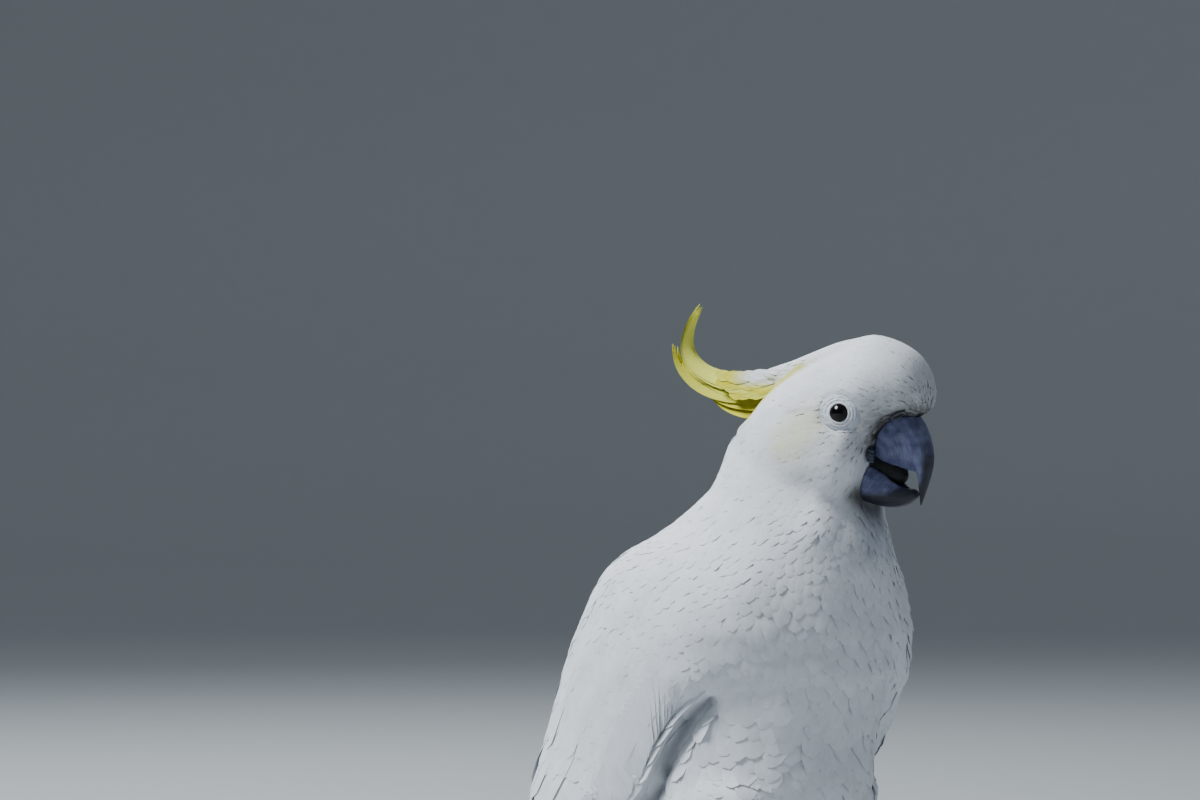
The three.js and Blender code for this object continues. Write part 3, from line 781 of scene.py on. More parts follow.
def scattered_roots(surface, fit, seed):
    """Evenly scattered places on the surface, apart by the coat's spacing, where fit says one may grow."""
    rng = np.random.default_rng(seed)
    quads = [f for f in surface.faces if len(f) == 4]
    triangles = np.array([f[:3] for f in surface.faces] + [[f[0], f[2], f[3]] for f in quads])
    corners = surface.points[triangles]
    area = np.linalg.norm(np.cross(corners[:, 1] - corners[:, 0], corners[:, 2] - corners[:, 0]), axis=1) / 2
    spacing = coat_at(corners.mean(axis=1))[1][:, SPACING]
    weight = area / spacing**2
    count = int(weight.sum() * 14)
    chosen = corners[rng.choice(len(corners), count, p=weight / weight.sum())]
    a, b = rng.random((2, count, 1))
    over = a + b > 1
    a, b = np.where(over, 1 - a, a), np.where(over, 1 - b, b)
    places = chosen[:, 0] * (1 - a - b) + chosen[:, 1] * a + chosen[:, 2] * b
    places = places[fit(places)]
    room = coat_at(places)[1][:, SPACING] * 0.78
    tree = KDTree(len(places))
    for i, place in enumerate(places):
        tree.insert(place, i)
    tree.balance()
    free = np.ones(len(places), bool)
    kept = []
    for i, place in enumerate(places):
        if free[i]:
            kept.append(i)
            for _, other, _ in tree.find_range(place, room[i]):
                free[other] = False
    return places[kept]


FREE_RUN = 0.55  # a feather leaves the skin where the skin turns away by more than this share of a step


def trail(surface, root, lie, length, shares):
    """A feather's middle line over the skin from its root, and the way the skin faces along it."""
    place, facing = surface.nearest(root)
    heading = Vector(lie)
    places, facings = [place], [facing]
    for before, after in zip(shares, shares[1:]):
        heading = (heading - facing * heading.dot(facing)).normalized()
        ahead = place + heading * length * (after - before)
        ground, ground_facing = surface.nearest(ahead)
        if (ground - ahead).length > FREE_RUN * length * (after - before):
            ground, ground_facing = ahead, facing
        heading = heading.lerp((ground - place).normalized(), 0.7)
        place, facing = ground, ground_facing
        places.append(place)
        facings.append(facing)
    return places, facings


def contour_outline(shares):
    """Half width along a body feather: narrow at its root and full past its middle."""
    return 0.35 + 0.65 * np.clip(shares / 0.6, 0, 1) ** 0.7 - 0.12 * np.clip(shares - 0.7, 0, 1) / 0.3


def strap_outline(shares):
    """Half width along a long feather: even, then closing a little towards its tip."""
    return 0.5 + 0.5 * np.clip(shares / 0.3, 0, 1) - 0.22 * np.clip(shares - 0.75, 0, 1) / 0.25


# A line through the middle of the bird from its bill to its tail, as (ahead, up) in millimetres.
SPINE = ((185, 252), (150, 258), (118, 232), (108, 190), (80, 130), (20, 85), (-60, 48), (-190, 0))


def body_wrap(points):
    """Where each point lies on the skin cut open along the bird's front: round it, and along the spine."""
    spine = np.array(SPINE) * MM
    flat = points[:, [0, 2]]
    starts, runs = spine[:-1], np.diff(spine, axis=0)
    long = np.linalg.norm(runs, axis=1)
    share = ((flat[:, None] - starts) * runs).sum(axis=2) / long**2
    share = np.clip(share, 0, 1)
    feet = starts + share[..., None] * runs
    nearest = np.linalg.norm(flat[:, None] - feet, axis=2).argmin(axis=1)
    rows = np.arange(len(points))
    before = np.concatenate([[0], np.cumsum(long)])
    along = (before[nearest] + share[rows, nearest] * long[nearest]) / before[-1]
    offset = flat - feet[rows, nearest]
    run = runs[nearest] / long[nearest][:, None]
    back = offset[:, 0] * run[:, 1] - offset[:, 1] * run[:, 0]
    around = np.arctan2(points[:, 1], back) / (2 * math.pi) + 0.5
    return np.column_stack([0.01 + 0.98 * around, 0.01 + 0.98 * along])


PATCH = 0.003  # the size of one feather's patch on the bake map


def along_lines(lines, shares, wanted):
    """The values of each line at each wanted share of its length."""
    spot = np.clip(np.searchsorted(shares, wanted, "right") - 1, 0, len(shares) - 2)
    part = (wanted - shares[spot]) / (shares[spot + 1] - shares[spot])
    rows = np.arange(len(lines)).reshape(-1, *[1] * (wanted.ndim - 1))
    if lines.ndim == 3:
        part = part[..., None]
    return lines[rows, spot] * (1 - part) + lines[rows, spot + 1] * part


def vanes(places, facings, shares, half, lift, fold, kind, soft, rng, thin=0.0, roll=0.0, roots=None):
    """Solid feathers on their middle lines.

    Gives their points, faces, which faces are flat, places on the vane, soft shading directions and roots.
    """
    columns, outline, blunt, ragged = kind
    columns = np.array(columns, float)
    count, stations = places.shape[:2]
    half, fold, soft, roll = (np.broadcast_to(v, (count,))[:, None, None] for v in (half, fold, soft, roll))
    run = unit(np.gradient(places, axis=1))
    side = unit(np.cross(facings, run))
    out = unit(np.cross(run, side))
    side, out = side * np.cos(roll) + out * np.sin(roll), out * np.cos(roll) - side * np.sin(roll)
    # Each strand of the vane ends on its own, the outer ones first, which makes the round and ragged tip.
    ends = 1 - blunt * np.abs(columns) ** 2.4 - ragged * rng.random((count, len(columns)))
    wanted = np.clip(ends, 0, 1)[:, None, :] * shares[None, :, None]
    lift = np.broadcast_to(lift, (count, stations))
    middle, sides, outs, raised = (along_lines(lines, shares, wanted) for lines in (places, side, out, lift))
    across = columns * outline(wanted) * half
    drop = np.abs(across) ** 1.6 / half**0.6 * np.sin(fold)
    top = middle + sides * (across * np.cos(fold))[..., None] + outs * (raised - drop)[..., None]
    long = np.linalg.norm(np.diff(places, axis=1), axis=2).sum(axis=1)[:, None, None]
    own = np.stack([across / MM, wanted * long / MM + rng.uniform(0, 400, (count, 1, 1))], axis=-1)
    skyward = outs * soft[..., None]
    if thin:
        inner = top[:, :, 1:-1] - outs[:, :, 1:-1] * thin
        top, own, skyward = (
            np.concatenate([outer, more], axis=2)
            for outer, more in ((top, inner), (own, own[:, :, 1:-1]), (skyward, skyward[:, :, 1:-1]))
        )
    faces, flat = vane_faces(stations, len(columns), bool(thin))
    top, own, skyward = (values.reshape(count, -1, values.shape[-1]) for values in (top, own, skyward))
    return top, faces, flat, own, skyward, places[:, 0] if roots is None else roots


def vane_faces(rows, width, thin):
    """The faces of one feather: a vane of rows and columns above, a plain or thin underside, root and tip."""
    stride = width * 2 - 2 if thin else width
    upper = [list(range(r * stride, r * stride + width)) for r in range(rows)]
    lower = [[row[0], row[-1]] for row in upper]
    if thin:
        lower = [[row[0], *range(row[-1] + 1, row[-1] + width - 1), row[-1]] for row in upper]
    faces = []
    for a, b in zip(upper, upper[1:]):
        faces += [[a[i], b[i], b[i + 1], a[i + 1]] for i in range(width - 1)]
    flat = [False] * len(faces)
    under = []
    for a, b in zip(lower, lower[1:]):
        under += [[a[i], a[i + 1], b[i + 1], b[i]] for i in range(len(a) - 1)]
    under.append([*upper[0], *lower[0][-2:0:-1]])
    under.append([*lower[-1], *upper[-1][-2:0:-1]])
    return faces + under, flat + [True] * len(under)


def feather_mesh(name, batches, colours_at):
    """One mesh of all these batches of feathers, with its colours and its two maps."""
    parts = []
    start = 0
    for made, faces, flat, own, soft, roots in batches:
        count, per = made.shape[:2]
        corner = np.concatenate([np.array(f) for f in faces])
        spread = own - own.min(axis=1, keepdims=True)
        patch = spread / np.maximum(spread.max(axis=1, keepdims=True), 1e-9) * PATCH
        parts.append(
            (
                made.reshape(-1, 3),
                (corner[None] + (start + per * np.arange(count))[:, None]).ravel(),
                np.tile([len(f) for f in faces], count),
                np.tile(flat, count),
                own.reshape(-1, 2),
                (body_wrap(roots)[:, None] + patch).reshape(-1, 2),
                soft.reshape(-1, 3),
                colours_at(made).reshape(-1, 3),
            )
        )
        start += count * per
    points, loops, sizes, flats, owns, bakes, softs, tints = (np.concatenate(part) for part in zip(*parts))
    mesh = bpy.data.meshes.new(name)
    mesh.vertices.add(len(points))
    mesh.vertices.foreach_set("co", points.astype(np.float32).ravel())
    mesh.loops.add(len(loops))
    mesh.loops.foreach_set("vertex_index", loops.astype(np.int32))
    mesh.polygons.add(len(sizes))
    mesh.polygons.foreach_set("loop_start", np.concatenate([[0], np.cumsum(sizes)[:-1]]).astype(np.int32))
    mesh.polygons.foreach_set("use_smooth", ~flats)
    mesh.update(calc_edges=True)
    for label, values in (("OFBake", bakes), ("Vane", owns)):
        layer = mesh.uv_layers.new(name=label)
        layer.uv.foreach_set("vector", values[loops].astype(np.float32).ravel())
    colour_points(mesh, tints)
    soften_shading(mesh, softs[loops], np.repeat(flats, sizes))
    return mesh


def soften_shading(mesh, soft, flat):
    """Turns the shading of the upper sides towards the body's, as barbs that let light through look."""
    shading = vectors_of(mesh.corner_normals, "vector")
    weight = np.linalg.norm(soft, axis=1, keepdims=True)
    softened = unit(shading * (1 - weight) + soft)
    mesh.normals_split_custom_set(np.where(flat[:, None], shading, softened))


def strand_shades(made, strands, spread, seed):
    """A slightly different shade for each strand of each feather."""
    count, per = made.shape[:2]
    shades = 1 + np.random.default_rng(seed).normal(0, spread, (count, strands))
    return shades[:, np.arange(per) % strands][..., None]


def coat_colours(made):
    """Each point of each feather takes the marking where it lies."""
    colours = plumage_colours(made.reshape(-1, 3), made.mean(axis=1)).reshape(made.shape)
    return colours * np.minimum(strand_shades(made, 7, 0.02, 80), 1.03)


def turned_lies(lies, facings, angles):
    """The lies turned within the skin by these angles."""
    flat = unit(lies - facings * dot(lies, facings))
    return flat * np.cos(angles)[:, None] + np.cross(facings, flat) * np.sin(angles)[:, None]


# Kinds of feather: places across the vane, outline, how round the tip is, and how ragged.
BODY_KIND = ((-1, -0.7, -0.35, 0, 0.35, 0.7, 1), contour_outline, 0.3, 0.06)
SMALL_KIND = ((-1, -0.5, 0, 0.5, 1), contour_outline, 0.34, 0.12)
BODY_SHARES = np.array([0, 0.3, 0.55, 0.75, 0.9, 1.0])
SMALL_SHARES = np.array([0, 0.4, 0.75, 1.0])


def coat_batch(roots, shares, kind, seed):
    """A batch of body feathers growing at these roots."""
    rng = np.random.default_rng(seed)
    lies, sizes = coat_at(roots)
    facings = np.array([SKIN.nearest(r)[1] for r in roots])
    # Of a ruffled patch only some feathers stand well off.
    ruffle = sizes[:, RUFFLE] * (0.35 + 0.75 * rng.random(len(roots)) ** 1.4)
    lies = turned_lies(lies, facings, rng.normal(0, 0.05 + 0.1 * ruffle))
    length = sizes[:, LENGTH] * rng.uniform(0.9, 1.08, len(roots))
    for line in LEDGES:
        above, share = over_ledge(roots + lies * length[:, None], line, 6)
        # Tips that would end near a ledge end on it, and stand off.
        length += (np.clip(above, -4, 3) + rng.normal(0, 2.0, len(roots))) * share * MM
        ruffle = np.maximum(ruffle, share * 0.95)
    trails = [trail(SKIN, Vector(r), l, n, shares) for r, l, n in zip(roots, lies, length)]
    places, facing = (np.array(part) for part in zip(*trails))
    half = sizes[:, WIDTH] / 2 * rng.uniform(0.92, 1.08, len(roots))
    stand = sizes[:, DEPTH] * (1 + ruffle * rng.uniform(-0.1, 0.2, len(roots)))
    rise = 0.3 + 0.9 * ruffle
    lift = 0.05 * MM + stand[:, None] * shares[None] ** rise[:, None]
    # In smooth plumage each tip sinks into the feathers below it.
    step = stand * rise * sizes[:, SPACING] / sizes[:, LENGTH] + 0.12 * MM
    lift[:, -1] -= step * (1 - ruffle) * 1.2
    fold = (0.1 + 0.08 * ruffle) * rng.uniform(0.7, 1.3, len(roots))
    soft = 0.66 - 0.35 * sizes[:, RUFFLE]
    return vanes(places, facing, shares, half, lift, fold, kind, soft, rng, roots=roots)


def nostril_at(side):
    return 21.8, side * 10, 0.8


AT_RADIUS = 0.37  # what near() gives at its radius
EYE_RING_REACH = 8.2
CAP_TIP = -44.5, 0.255  # how far ahead of the head's middle, and how high up, the cap's tip begins


def clear_of_bare_parts(places):
    """No feathers grow on the rings round the eyes, the nostrils, the cap's tip or under the wings' edges."""
    fit = np.ones(len(places), bool)
    for name, side in SIDES.items():
        bare = [(EYE_MIDDLE[name], EYE_RING_REACH)]
        for ahead in (0, 3):
            bare.append((on_head(*nostril_at(side)) + turn_with_head(ahead, 0, -ahead / 3) * MM, 3))
        for middle, radius in bare:
            fit &= np.linalg.norm(places - np.array(middle), axis=1) > radius * MM
        fit &= near(places, wing_slot(side), 4) < AT_RADIUS
        fit &= near(places, lower_edge(side, np.linspace(0.9, 5, 12)), 6) < AT_RADIUS
    return fit & ((in_head(places)[0] > CAP_TIP[0]) | (places[:, 2] < CAP_TIP[1]))


COAT_ENDS_ON_WING = 2.5  # the row of the wing's table where the long feathers take over
BREAST_FROM = 0.075  # the breast's feathers lie ahead of this, in metres
TAIL_COAT_FROM = -0.07


def region_of(place):
    """Which piece of the coat a feather belongs to, or none where long feathers lie instead."""
    name = solid_at(place)
    if name.startswith("bill") or name == "tongue" or name.endswith("foot") or "claw" in name:
        return ""
    if name.split("_")[-1] in ("coverts", "secondaries", "primaries"):
        row = wing_row(place)
        if across_wing(place, row) < 0 and 1 < row < 6:
            return "coat_breast" if place.x > BREAST_FROM else "coat_thighs"
        return "" if row > COAT_ENDS_ON_WING else "coat_wing_" + name.split("_")[0]
    if name == "tail":
        return "coat_back" if place.x > TAIL_COAT_FROM else ""
    if name in ("head", "crest_cap") or name.startswith("crest_plume") or name.endswith("eye_ring"):
        return "coat_head_left" if (place - HEAD_MIDDLE).dot(HEAD_LEFT) > 0 else "coat_head_right"
    if name == "neck":
        return "coat_neck"
    if name.endswith("thigh"):
        return "coat_thighs"
    return "coat_breast" if place.x > BREAST_FROM else "coat_back"


def grow_coat():
    """The whole coat of body feathers, in pieces by region."""
    roots = scattered_roots(SKIN, clear_of_bare_parts, seed=11)
    regions = np.array([region_of(Vector(r)) for r in roots])
    for number, region in enumerate(sorted(set(regions) - {""})):
        small = region.startswith("coat_head")
        shares, kind = (SMALL_SHARES, SMALL_KIND) if small else (BODY_SHARES, BODY_KIND)
        batch = coat_batch(roots[regions == region], shares, kind, seed=20 + number)
        show(region, feather_mesh(region, [batch], coat_colours), FEATHER)


grow_coat()

# ---- The wings' long feathers and lower edges -----------------------------------------------------


def evened(lines, kept=lambda values: values):
    """The lines with their kinks smoothed out between their ends."""
    for _ in range(3):
        lines[:, 1:-1] = kept((lines[:, :-2] + lines[:, 1:-1] * 2 + lines[:, 2:]) / 4)
    return lines


def on_wing(side, row, across):
    """A place on the folded wing, and the way it faces: at a row of its table, so far across from below."""
    low, high = wing_chord(row)
    chord = low * (1 - across) + high * across
    belly = 4 * across * (1 - across) * max(0, 1 - row / 9)
    spot = Vector((chord[0] - 14 * belly, side * -(chord[1] - 34 * belly), chord[2] + 6 * belly)) * MM
    ground, facing = SKIN.nearest(spot)
    run = wing_chord(min(row + 0.3, 9))[0] - wing_chord(max(row - 0.3, 0))[0]
    plane = np.cross(run, high - low) * (1, -side, 1)
    plane = Vector(plane * (1 if plane[1] * side > 0 else -1)).normalized()
    free = float(rising(row, 5.8, 7.2))  # the thin ends keep to the wing's plane
    return ground.lerp(spot + plane * MM, free), facing.lerp(plane, free).normalized()


QUILL_SHARES = np.linspace(0, 1, 15)
QUILL_KIND = ((-1, -0.7, -0.35, -0.08, 0, 0.08, 0.35, 0.7, 1), strap_outline, 0.07, 0.006)
COVERT_KIND = ((-1, -0.7, -0.35, 0, 0.35, 0.7, 1), strap_outline, 0.16, 0.03)

# Runs of long feathers from the wing's lower edge upwards: how many, the row and the place across where the
# first and the last of them start and end, half width, how high the first and last lie, roll, and kind.
WING_RUNS = (
    (9, (4.0, 0.1, 8.9, 0.45), (4.6, 0.7, 7.4, 0.75), 6.0, (0.3, 1.0), 0.08, QUILL_KIND),
    (10, (3.0, 0.06, 5.5, 0.1), (3.0, 0.95, 6.4, 0.9), 7.5, (0.8, 1.5), 0.09, QUILL_KIND),
    (11, (2.0, 0.04, 4.1, 0.07), (2.0, 0.97, 4.3, 0.97), 6.5, (1.3, 1.9), 0.08, COVERT_KIND),
    (14, (1.3, 0.03, 3.0, 0.05), (1.4, 1.0, 3.2, 1.0), 5.6, (1.5, 1.9), 0.06, COVERT_KIND),
)


def wing_quills(side):
    """The long feathers of a folded wing, each over the one below it."""
    rng = np.random.default_rng(40 + side)
    batches = {}
    for count, first, last, half, (low, high), roll, kind in WING_RUNS:
        for i in range(count):
            share = i / (count - 1)
            start, start_across, end, end_across = np.array(first) * (1 - share) + np.array(last) * share
            end += rng.uniform(-0.09, 0.09)
            line = [
                on_wing(side, start + (end - start) * s, start_across + (end_across - start_across) * s)
                for s in QUILL_SHARES
            ]
            lift = (low + (high - low) * share) * MM * (0.25 + 0.75 * QUILL_SHARES**0.6)
            batches.setdefault(kind, []).append((line, half * MM, lift, -side * roll))
    return [quill_batch(kind, rows, rng) for kind, rows in batches.items()]


def quill_batch(kind, rows, rng):
    lines, halves, lifts, rolls = zip(*rows)
    places, facings = np.moveaxis(np.array(lines), 2, 0)
    places, facings = evened(places), evened(facings, unit)
    return vanes(places, facings, QUILL_SHARES, halves, lifts, 0.1, kind, 0.25, rng, 0.2 * MM, rolls)


EDGE_SHARES = np.linspace(0, 1, 8)
MARGIN_STARTS = {-1: 0.75, 1: 0.2}  # the row where each wing's edge comes out from under the breast feathers


def margin_feathers(side):
    """Small flat coverts that carry the wing's outer face out to its lower edge."""
    rng = np.random.default_rng(95 + side)
    outward = Vector((0.2, 0.95 * side, 0.2)).normalized()
    places, facings = [], []
    for row in np.arange(MARGIN_STARTS[side], 5.2, 0.12):
        root, facing = on_wing(side, row - 1.3, 0.16)
        edge = Vector(lower_edge(side, row + rng.uniform(-0.08, 0.08)))
        tip = edge.lerp(on_wing(side, row, 0.16)[0], 0.2) + outward * 0.6 * MM
        line, ways = [], []
        for share in EDGE_SHARES:
            spot = root.lerp(tip, share)
            ground, up = SKIN.nearest(spot)
            short = (0.1 + 1.9 * float(rising(row, 0.9, 2.1))) * MM - (spot - ground).dot(up)
            if short > 0:
                spot += up * min(short, 3 * MM)
            line.append(spot)
            ways.append(facing.lerp(outward, min(1, share * 1.2)).normalized())
        places.append(line)
        facings.append(ways)
    return edge_batch(places, facings, 4.2, 0.06, 0.6, 0.9, COVERT_KIND, rng)


def rolled_edge(side):
    """Short feathers one behind the other, rolled round the wing's lower edge."""
    rng = np.random.default_rng(90 + side)
    wanted = np.arange(MARGIN_STARTS[side] - 0.3, 2.0, 0.45)[:, None] + 1.1 * EDGE_SHARES
    facings = np.tile(unit(np.array((-0.05, 0.75 * side, 0.65))), (*wanted.shape, 1))
    places = lower_edge(side, wanted) + np.array((-1.0, 2.2 * side, 0.2)) * MM
    return edge_batch(places, facings, 2.7, 0.45, 1.6, 0.3, COVERT_KIND, rng)


def edge_batch(places, facings, half, fold, rise, soft, kind, rng):
    """Short feathers on these lines, standing off more towards their tips."""
    lift = (-0.2 + rise * EDGE_SHARES) * MM
    places, facings = evened(np.array(places)), unit(np.array(facings))
    return vanes(places, facings, EDGE_SHARES, half * MM, lift, fold, kind, soft, rng, 0.2 * MM)


def wing_edge(side):
    return [margin_feathers(side), rolled_edge(side)]


for part, batches_of in (("quills", wing_quills), ("edge", wing_edge)):
    for side_name, side_sign in SIDES.items():
        label = f"{part}_wing_{side_name}"
        show(label, feather_mesh(label, batches_of(side_sign), coat_colours), FEATHER)

# ---- Tail -----------------------------------------------------------------------------------------

TAIL_PAIRS = 6


def tail_quills():
    """Twelve long feathers: the middle pair on top, and each pair outside it a little lower and shorter."""
    places, facings = [], []
    behind, upper, lower = TAIL_LINE.T
    for pair in range(TAIL_PAIRS):
        for side in (-1, 1):
            x = -24 + (-163.5 + pair * 1.3) * QUILL_SHARES
            top, low = (np.interp(-x, -behind, height) for height in (upper, lower))
            z = top - 0.6 - (top - low - 1.4) * (pair + 0.25 + 0.12 * side) / TAIL_PAIRS
            y = side * ((1.5 + pair * 1.6) * (1 - QUILL_SHARES) + (3.5 + pair * 3.4) * QUILL_SHARES)
            line = np.column_stack([x, y, z]) * MM
            lean = np.cross(np.gradient(line, axis=0), (0, 1, 0))
            places.append(line)
            facings.append(unit(lean * np.sign(lean[:, 2:])))
    places, facings, rng = np.array(places), np.array(facings), np.random.default_rng(50)
    made = vanes(places, facings, QUILL_SHARES, 12.5 * MM, 0.0, 0.09, QUILL_KIND, 0.0, rng, 0.3 * MM)
    made[0][..., 2] = np.maximum(made[0][..., 2], 0.1 * MM)
    return made


tail_mesh = feather_mesh("quills_tail", [tail_quills()], coat_colours)
show("quills_tail", tail_mesh, FEATHER, ["tail"])

# ---- Crest ----------------------------------------------------------------------------------------

# Crest feathers in the head's frame: root, two handles and tip, each as (ahead, up) in millimetres.
CREST_CURVES = np.array(
    [
        ((-14, 21), (-50, 11.5), (-94, 14.5), (-73.4, 47.5)),
        ((-14, 18), (-50, 7.5), (-92.5, 11), (-74.5, 45)),
        ((-16, 16), (-48, 5), (-83, 6), (-86.5, 30)),
        ((-18, 13.5), (-44, 2), (-70, 5), (-83.5, 20)),
        ((-20, 10), (-42, 0), (-60, -1), (-75, 10)),
        ((-22, 6), (-40, -4), (-50, -4), (-64, 3.5)),
        ((-24, 2), (-36, -6), (-46, -8), (-55, -3)),
    ],
    float,
)
CREST_SHARES = np.linspace(0, 1, 21)
# Where on the list of curves the feathers lie, and how many at each.
CREST_CLUMPS = [(row, 4) for row in (0.0, 1.65, 2.0, 2.3, 3.0, 3.3, 3.7, 4.1, 4.5, 4.9, 5.4, 5.9)]
CREST_CLUMPS = sorted(CREST_CLUMPS + [(row, 3) for row in (0.35, 0.7, 1.0, 1.3, 2.6)])


def plume_outline(shares):
    """Half width along a crest feather: broad soon after its root, then a long taper to its tip."""
    return np.minimum(1, 0.45 + shares * 2.4) * np.clip(1 - shares**2.6, 0.03, 1) ** 0.6


PLUME_KIND = ((-1, -0.75, -0.5, -0.25, 0, 0.25, 0.5, 0.75, 1), plume_outline, 0.05, 0.025)


def crest_line(row, reach=1.0):
    """The curve of a crest feather, between the listed ones if need be, as (ahead, up) along its first part."""
    lower = min(int(row), len(CREST_CURVES) - 2)
    a, b, c, d = CREST_CURVES[lower] * (1 - row + lower) + CREST_CURVES[lower + 1] * (row - lower)
    t = CREST_SHARES[:, None] * reach
    return a * (1 - t) ** 3 + 3 * b * t * (1 - t) ** 2 + 3 * c * t**2 * (1 - t) + d * t**3


def crest_plumes():
    """Folded feathers side by side over one another, from the long upturned ones to the short ones beneath."""
    rng = np.random.default_rng(60)
    places, facings, halves = [], [], []
    for row, count in CREST_CLUMPS:
        for i in range(count):
            share = i / (count - 1) * 2 - 1
            loose = 0.05 + 0.09 * max(row - 2.4, 0)  # the short feathers beneath lie less neatly
            reach = 0.72 if 1 < row < 2 else 1.0 if row <= 2 else 0.93
            line = crest_line(np.clip(row + rng.uniform(-loose, loose), 0, 6), reach)
            line = line + rng.uniform(-0.4, 0.4, 2)
            short = 0.03 * abs(share) + (loose - 0.05) * rng.uniform(0, 0.8)
            line = line * (1 - short) + line[0] * short
            side = share * (0.6 + 0.28 * count + 0.5 * row)
            slope = np.gradient(line, axis=0)
            places.append([on_head(x, side * (1 - 0.6 * s), z) for (x, z), s in zip(line, CREST_SHARES)])
            facings.append([turn_with_head(dz, 0.25 * share, -dx) for dx, dz in slope])
            halves.append((7.0 - 0.5 * row) * MM * rng.uniform(0.85, 1.1))
    places, facings = np.array(places), unit(np.array(facings))
    return vanes(places, facings, CREST_SHARES, halves, 0.0, 1.1, PLUME_KIND, 0.4, rng, 0.2 * MM)


def cap_fringe():
    """Small feathers that carry the cap's tip back over the roots of the crest, at its sides and on top."""
    rng = np.random.default_rng(62)
    places, facings = [], []
    for i in range(100):
        side = (-1, 1, 0)[i % 3] if i < 60 else (-1, 1)[i % 2]
        row = rng.uniform(0, 2.6) if side else 0
        start, off = rng.uniform(0.17, 0.38 if side else 0.3), rng.uniform(-3, 3)
        line = crest_line(row)
        run = np.array([np.interp(start + 0.13 * EDGE_SHARES, CREST_SHARES, line[:, k]) for k in (0, 1)]).T
        slope = np.gradient(run, axis=0)
        out = 5.6 + 0.4 * row
        places.append([on_head(x, side * out if side else off, z + (0 if side else 0.4)) for x, z in run])
        facings.append([turn_with_head(dz, 2.5 * side, -dx) for dx, dz in unit(slope)])
    return edge_batch(places, facings, 2.6, 0.1, 0.3, 0.9, BODY_KIND, rng)


def crest_colours(made):
    """Pale yellow above, stronger yellow in the lower and shorter feathers, in fine streaks."""
    count, per = made.shape[:2]
    colours = mixed(PALE_YELLOW, YELLOW, np.repeat(np.linspace(0, 1, count) ** 0.8, per))
    ahead, _, height = in_head(made.reshape(-1, 3))
    under_cap = rising(ahead, -58, -44) * rising(height, 10, 15)
    return mixed(colours, WHITE, under_cap).reshape(made.shape) * strand_shades(made, 16, 0.05, 81)


crest_mesh = feather_mesh("crest", [crest_plumes(), cap_fringe()], crest_colours)
show("crest", crest_mesh, FEATHER, [f"crest_plume_{i}" for i in range(1, 7)])

# ---- Bill and mouth -------------------------------------------------------------------------------

BILL_BLUE = paint("#595d86")
BILL_PALE = paint("#8d93ab")
BILL_DARK = paint("#17181f")
# How far the cutting edge drops, by how far ahead it is, in millimetres.
CUTTING_EDGE_DROP = (9, 10, 13, 16.5, 20, 24, 27, 29), (0.5, 2.2, 3.6, 4.0, 3.6, 2.4, 0.7, 0.0)
BILL_ARC = (-1.3, -18.7)  # the middle of the bill's curve, ahead and up in the head's frame


def bill_colours(points, lower):
    """Blue-grey with a pale bloom in streaks along its curve, and almost black in front and at the tip."""
    ahead, left, height = in_head(points)
    reach = np.hypot(ahead - BILL_ARC[0], height - BILL_ARC[1])
    turn = np.arctan2(height - BILL_ARC[1], ahead - BILL_ARC[0])
    streaks = np.array([noise.noise((r * 1.7, t * 2.6, y * 0.5)) for r, t, y in zip(reach, turn, left)])
    blotches = np.array([noise.noise(Vector(p) / (3 * MM)) for p in points - np.array(HEAD_MIDDLE)])
    colours = mixed(BILL_BLUE, BILL_PALE, 0.2 + 0.2 * streaks + 0.3 * blotches)
    colours = mixed(colours, BILL_DARK, 0.35 * np.clip(-streaks - 0.1, 0, 1) + 0.35 * np.clip(-blotches, 0, 1))
    if lower:
        front = np.clip((ahead - 16) / 5, 0, 1)
        return mixed(colours, BILL_DARK, np.clip(front + (-32.5 - height) / 3, 0, 0.95))
    front = np.clip((reach - 32) / 1.6, 0, 1) * np.clip((math.radians(14) - turn) / math.radians(18), 0, 1)
    tip = np.clip((-27 - height) / 7, 0, 1) * np.clip((ahead - 20) / 5, 0, 1)
    return mixed(colours, BILL_DARK, np.clip(front * 0.9 + tip * 0.95, 0, 0.95))


def lengthen_cutting_edge(mesh):
    """Each side of the upper bill hangs down a little further behind its hook."""
    points = points_of(mesh)
    ahead, _, height = in_head(points)
    stops = np.arange(9, 30)
    edge = [height[np.abs(ahead - stop) < 1].min() for stop in stops]
    above = height - np.interp(ahead, stops, edge)
    points[:, 2] -= np.interp(ahead, *CUTTING_EDGE_DROP) * bell(above, 4) * MM
    move_points(mesh, points)


def show_bill(node):
    mesh = remeshed(joined_solids([node], 0.05 * MM), 0.4 * MM, 5)
    if node == "bill_upper":
        lengthen_cutting_edge(mesh)
    colour_points(mesh, bill_colours(points_of(mesh), node == "bill_lower"))
    show(node + "_horn", mesh, BILL_HORN, [node])


def show_tongue():
    """The tongue, drawn up into the roof of the mouth close over it, near black: the tongue's own dark colour
    and painted shade of the open mouth's inside.
    """
    mesh = remeshed(joined_solids(["tongue"], 0.4 * MM), 0.4 * MM, 6)
    points = points_of(mesh)
    local = points - np.array(centre_of("tongue"))
    ahead = local @ np.array(HEAD_AHEAD)
    points[:, 2] += np.maximum(local[:, 2], 0) * np.clip(0.8 - ahead / (20 * MM), 0.6, 1.1)
    points -= np.outer(np.maximum(ahead, 0) * 0.08, HEAD_AHEAD)
    move_points(mesh, points)
    # Near black: the tongue's own dark colour, with painted shade for the inside of the open mouth.
    colour_points(mesh, paint("#0b090a"))
    show("tongue_skin", mesh, MOUTH_SKIN, ["tongue"])


